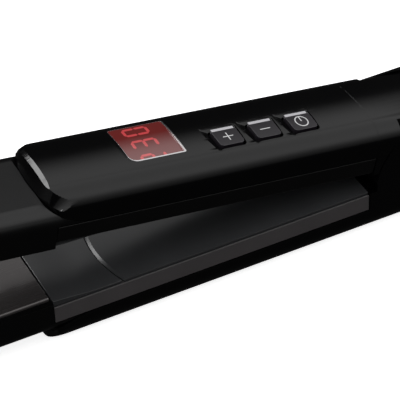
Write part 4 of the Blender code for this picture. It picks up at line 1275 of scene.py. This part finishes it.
def overhead_panel(height, radiance):
    """A wide panel over the object whose light fades out towards its two long sides."""
    reach = [height / math.tan(math.radians(angle)) for angle, _ in PANEL_SHADES]
    near, far = reach[-1], reach[0]
    bm = bmesh.new()
    corners = [(-3, near), (3, near), (3, far), (-3, far)]
    bm.faces.new([bm.verts.new((x, y, 0.0)) for x, y in corners])
    panel = loose(bm, "overhead_panel")
    panel.location.z = height
    cloth = Finish("panel_cloth", Roughness=1.0)
    across_panel = cloth.node("SeparateXYZ", {}, {"Vector": cloth.place}, output=1)
    stops = [((y - near) / (far - near), level) for y, (_, level) in zip(reach, PANEL_SHADES)]
    cloth.set("Emission Strength", radiance)
    cloth.set("Emission Color", cloth.ramp((across_panel - near) * (1.0 / (far - near)),
                                           *reversed(stops)))
    cloth.set("Base Color", (0.0, 0.0, 0.0))
    cloth.set("Specular IOR Level", 0.0)
    panel.data.materials.append(cloth.material)
    panel.visible_camera = False


def corner_panel(name, direction, size, radiance, distance=1.15):
    """A softbox in a direction from the object, turned towards it."""
    middle = Vector((0.0, 0.0, 0.02))
    place = middle + Vector(direction).normalized() * distance
    softbox(name, tuple(place), tuple(middle), size, size * 0.8, radiance)


def paper_floor():
    """A bright floor that neither shows in the gloss nor lights the object."""
    bm = bmesh.new()
    bmesh.ops.create_circle(bm, cap_ends=True, radius=6.0, segments=96)
    floor = loose(bm, "floor")
    floor.location.z = -0.0002
    paper = Finish("floor_paper")
    paper.set("Emission Strength", 1.0)
    paper.set("Emission Color", (0.82, 0.82, 0.82))
    tone = paper.blend(paper.noise(60.0, 3.0), (0.86, 0.86, 0.86), (0.9, 0.9, 0.9))
    floor.data.materials.append(paper.done(tone, 0.8, paper.bump(paper.noise(0.8), 0.01, 0.1)))
    floor.visible_glossy = False
    floor.visible_diffuse = False


def sky_dome():
    """White behind the object for the camera, and nearly dark for everything else."""
    world = bpy.data.worlds.new("studio_world")
    bpy.context.scene.world = world
    world.use_nodes = True
    tree = world.node_tree
    sky = tree.nodes["Background"]
    sky.inputs["Color"].default_value = (1.0, 1.0, 1.0, 1.0)
    path = tree.nodes.new("ShaderNodeLightPath")
    level = tree.nodes.new("ShaderNodeMapRange")
    level.inputs["To Min"].default_value = 0.02
    level.inputs["To Max"].default_value = 1.0
    tree.links.new(path.outputs["Is Camera Ray"], level.inputs["Value"])
    tree.links.new(level.outputs[0], sky.inputs["Strength"])
    bpy.context.scene.view_settings.view_transform = "Standard"


def studio():
    overhead_panel(height=1.2, radiance=1.0)
    corner_panel("rim_panel", direction=(-0.29, 0.664, 0.69), size=0.36, radiance=6.5)
    paper_floor()
    sky_dome()


camera()
studio()
build_object()
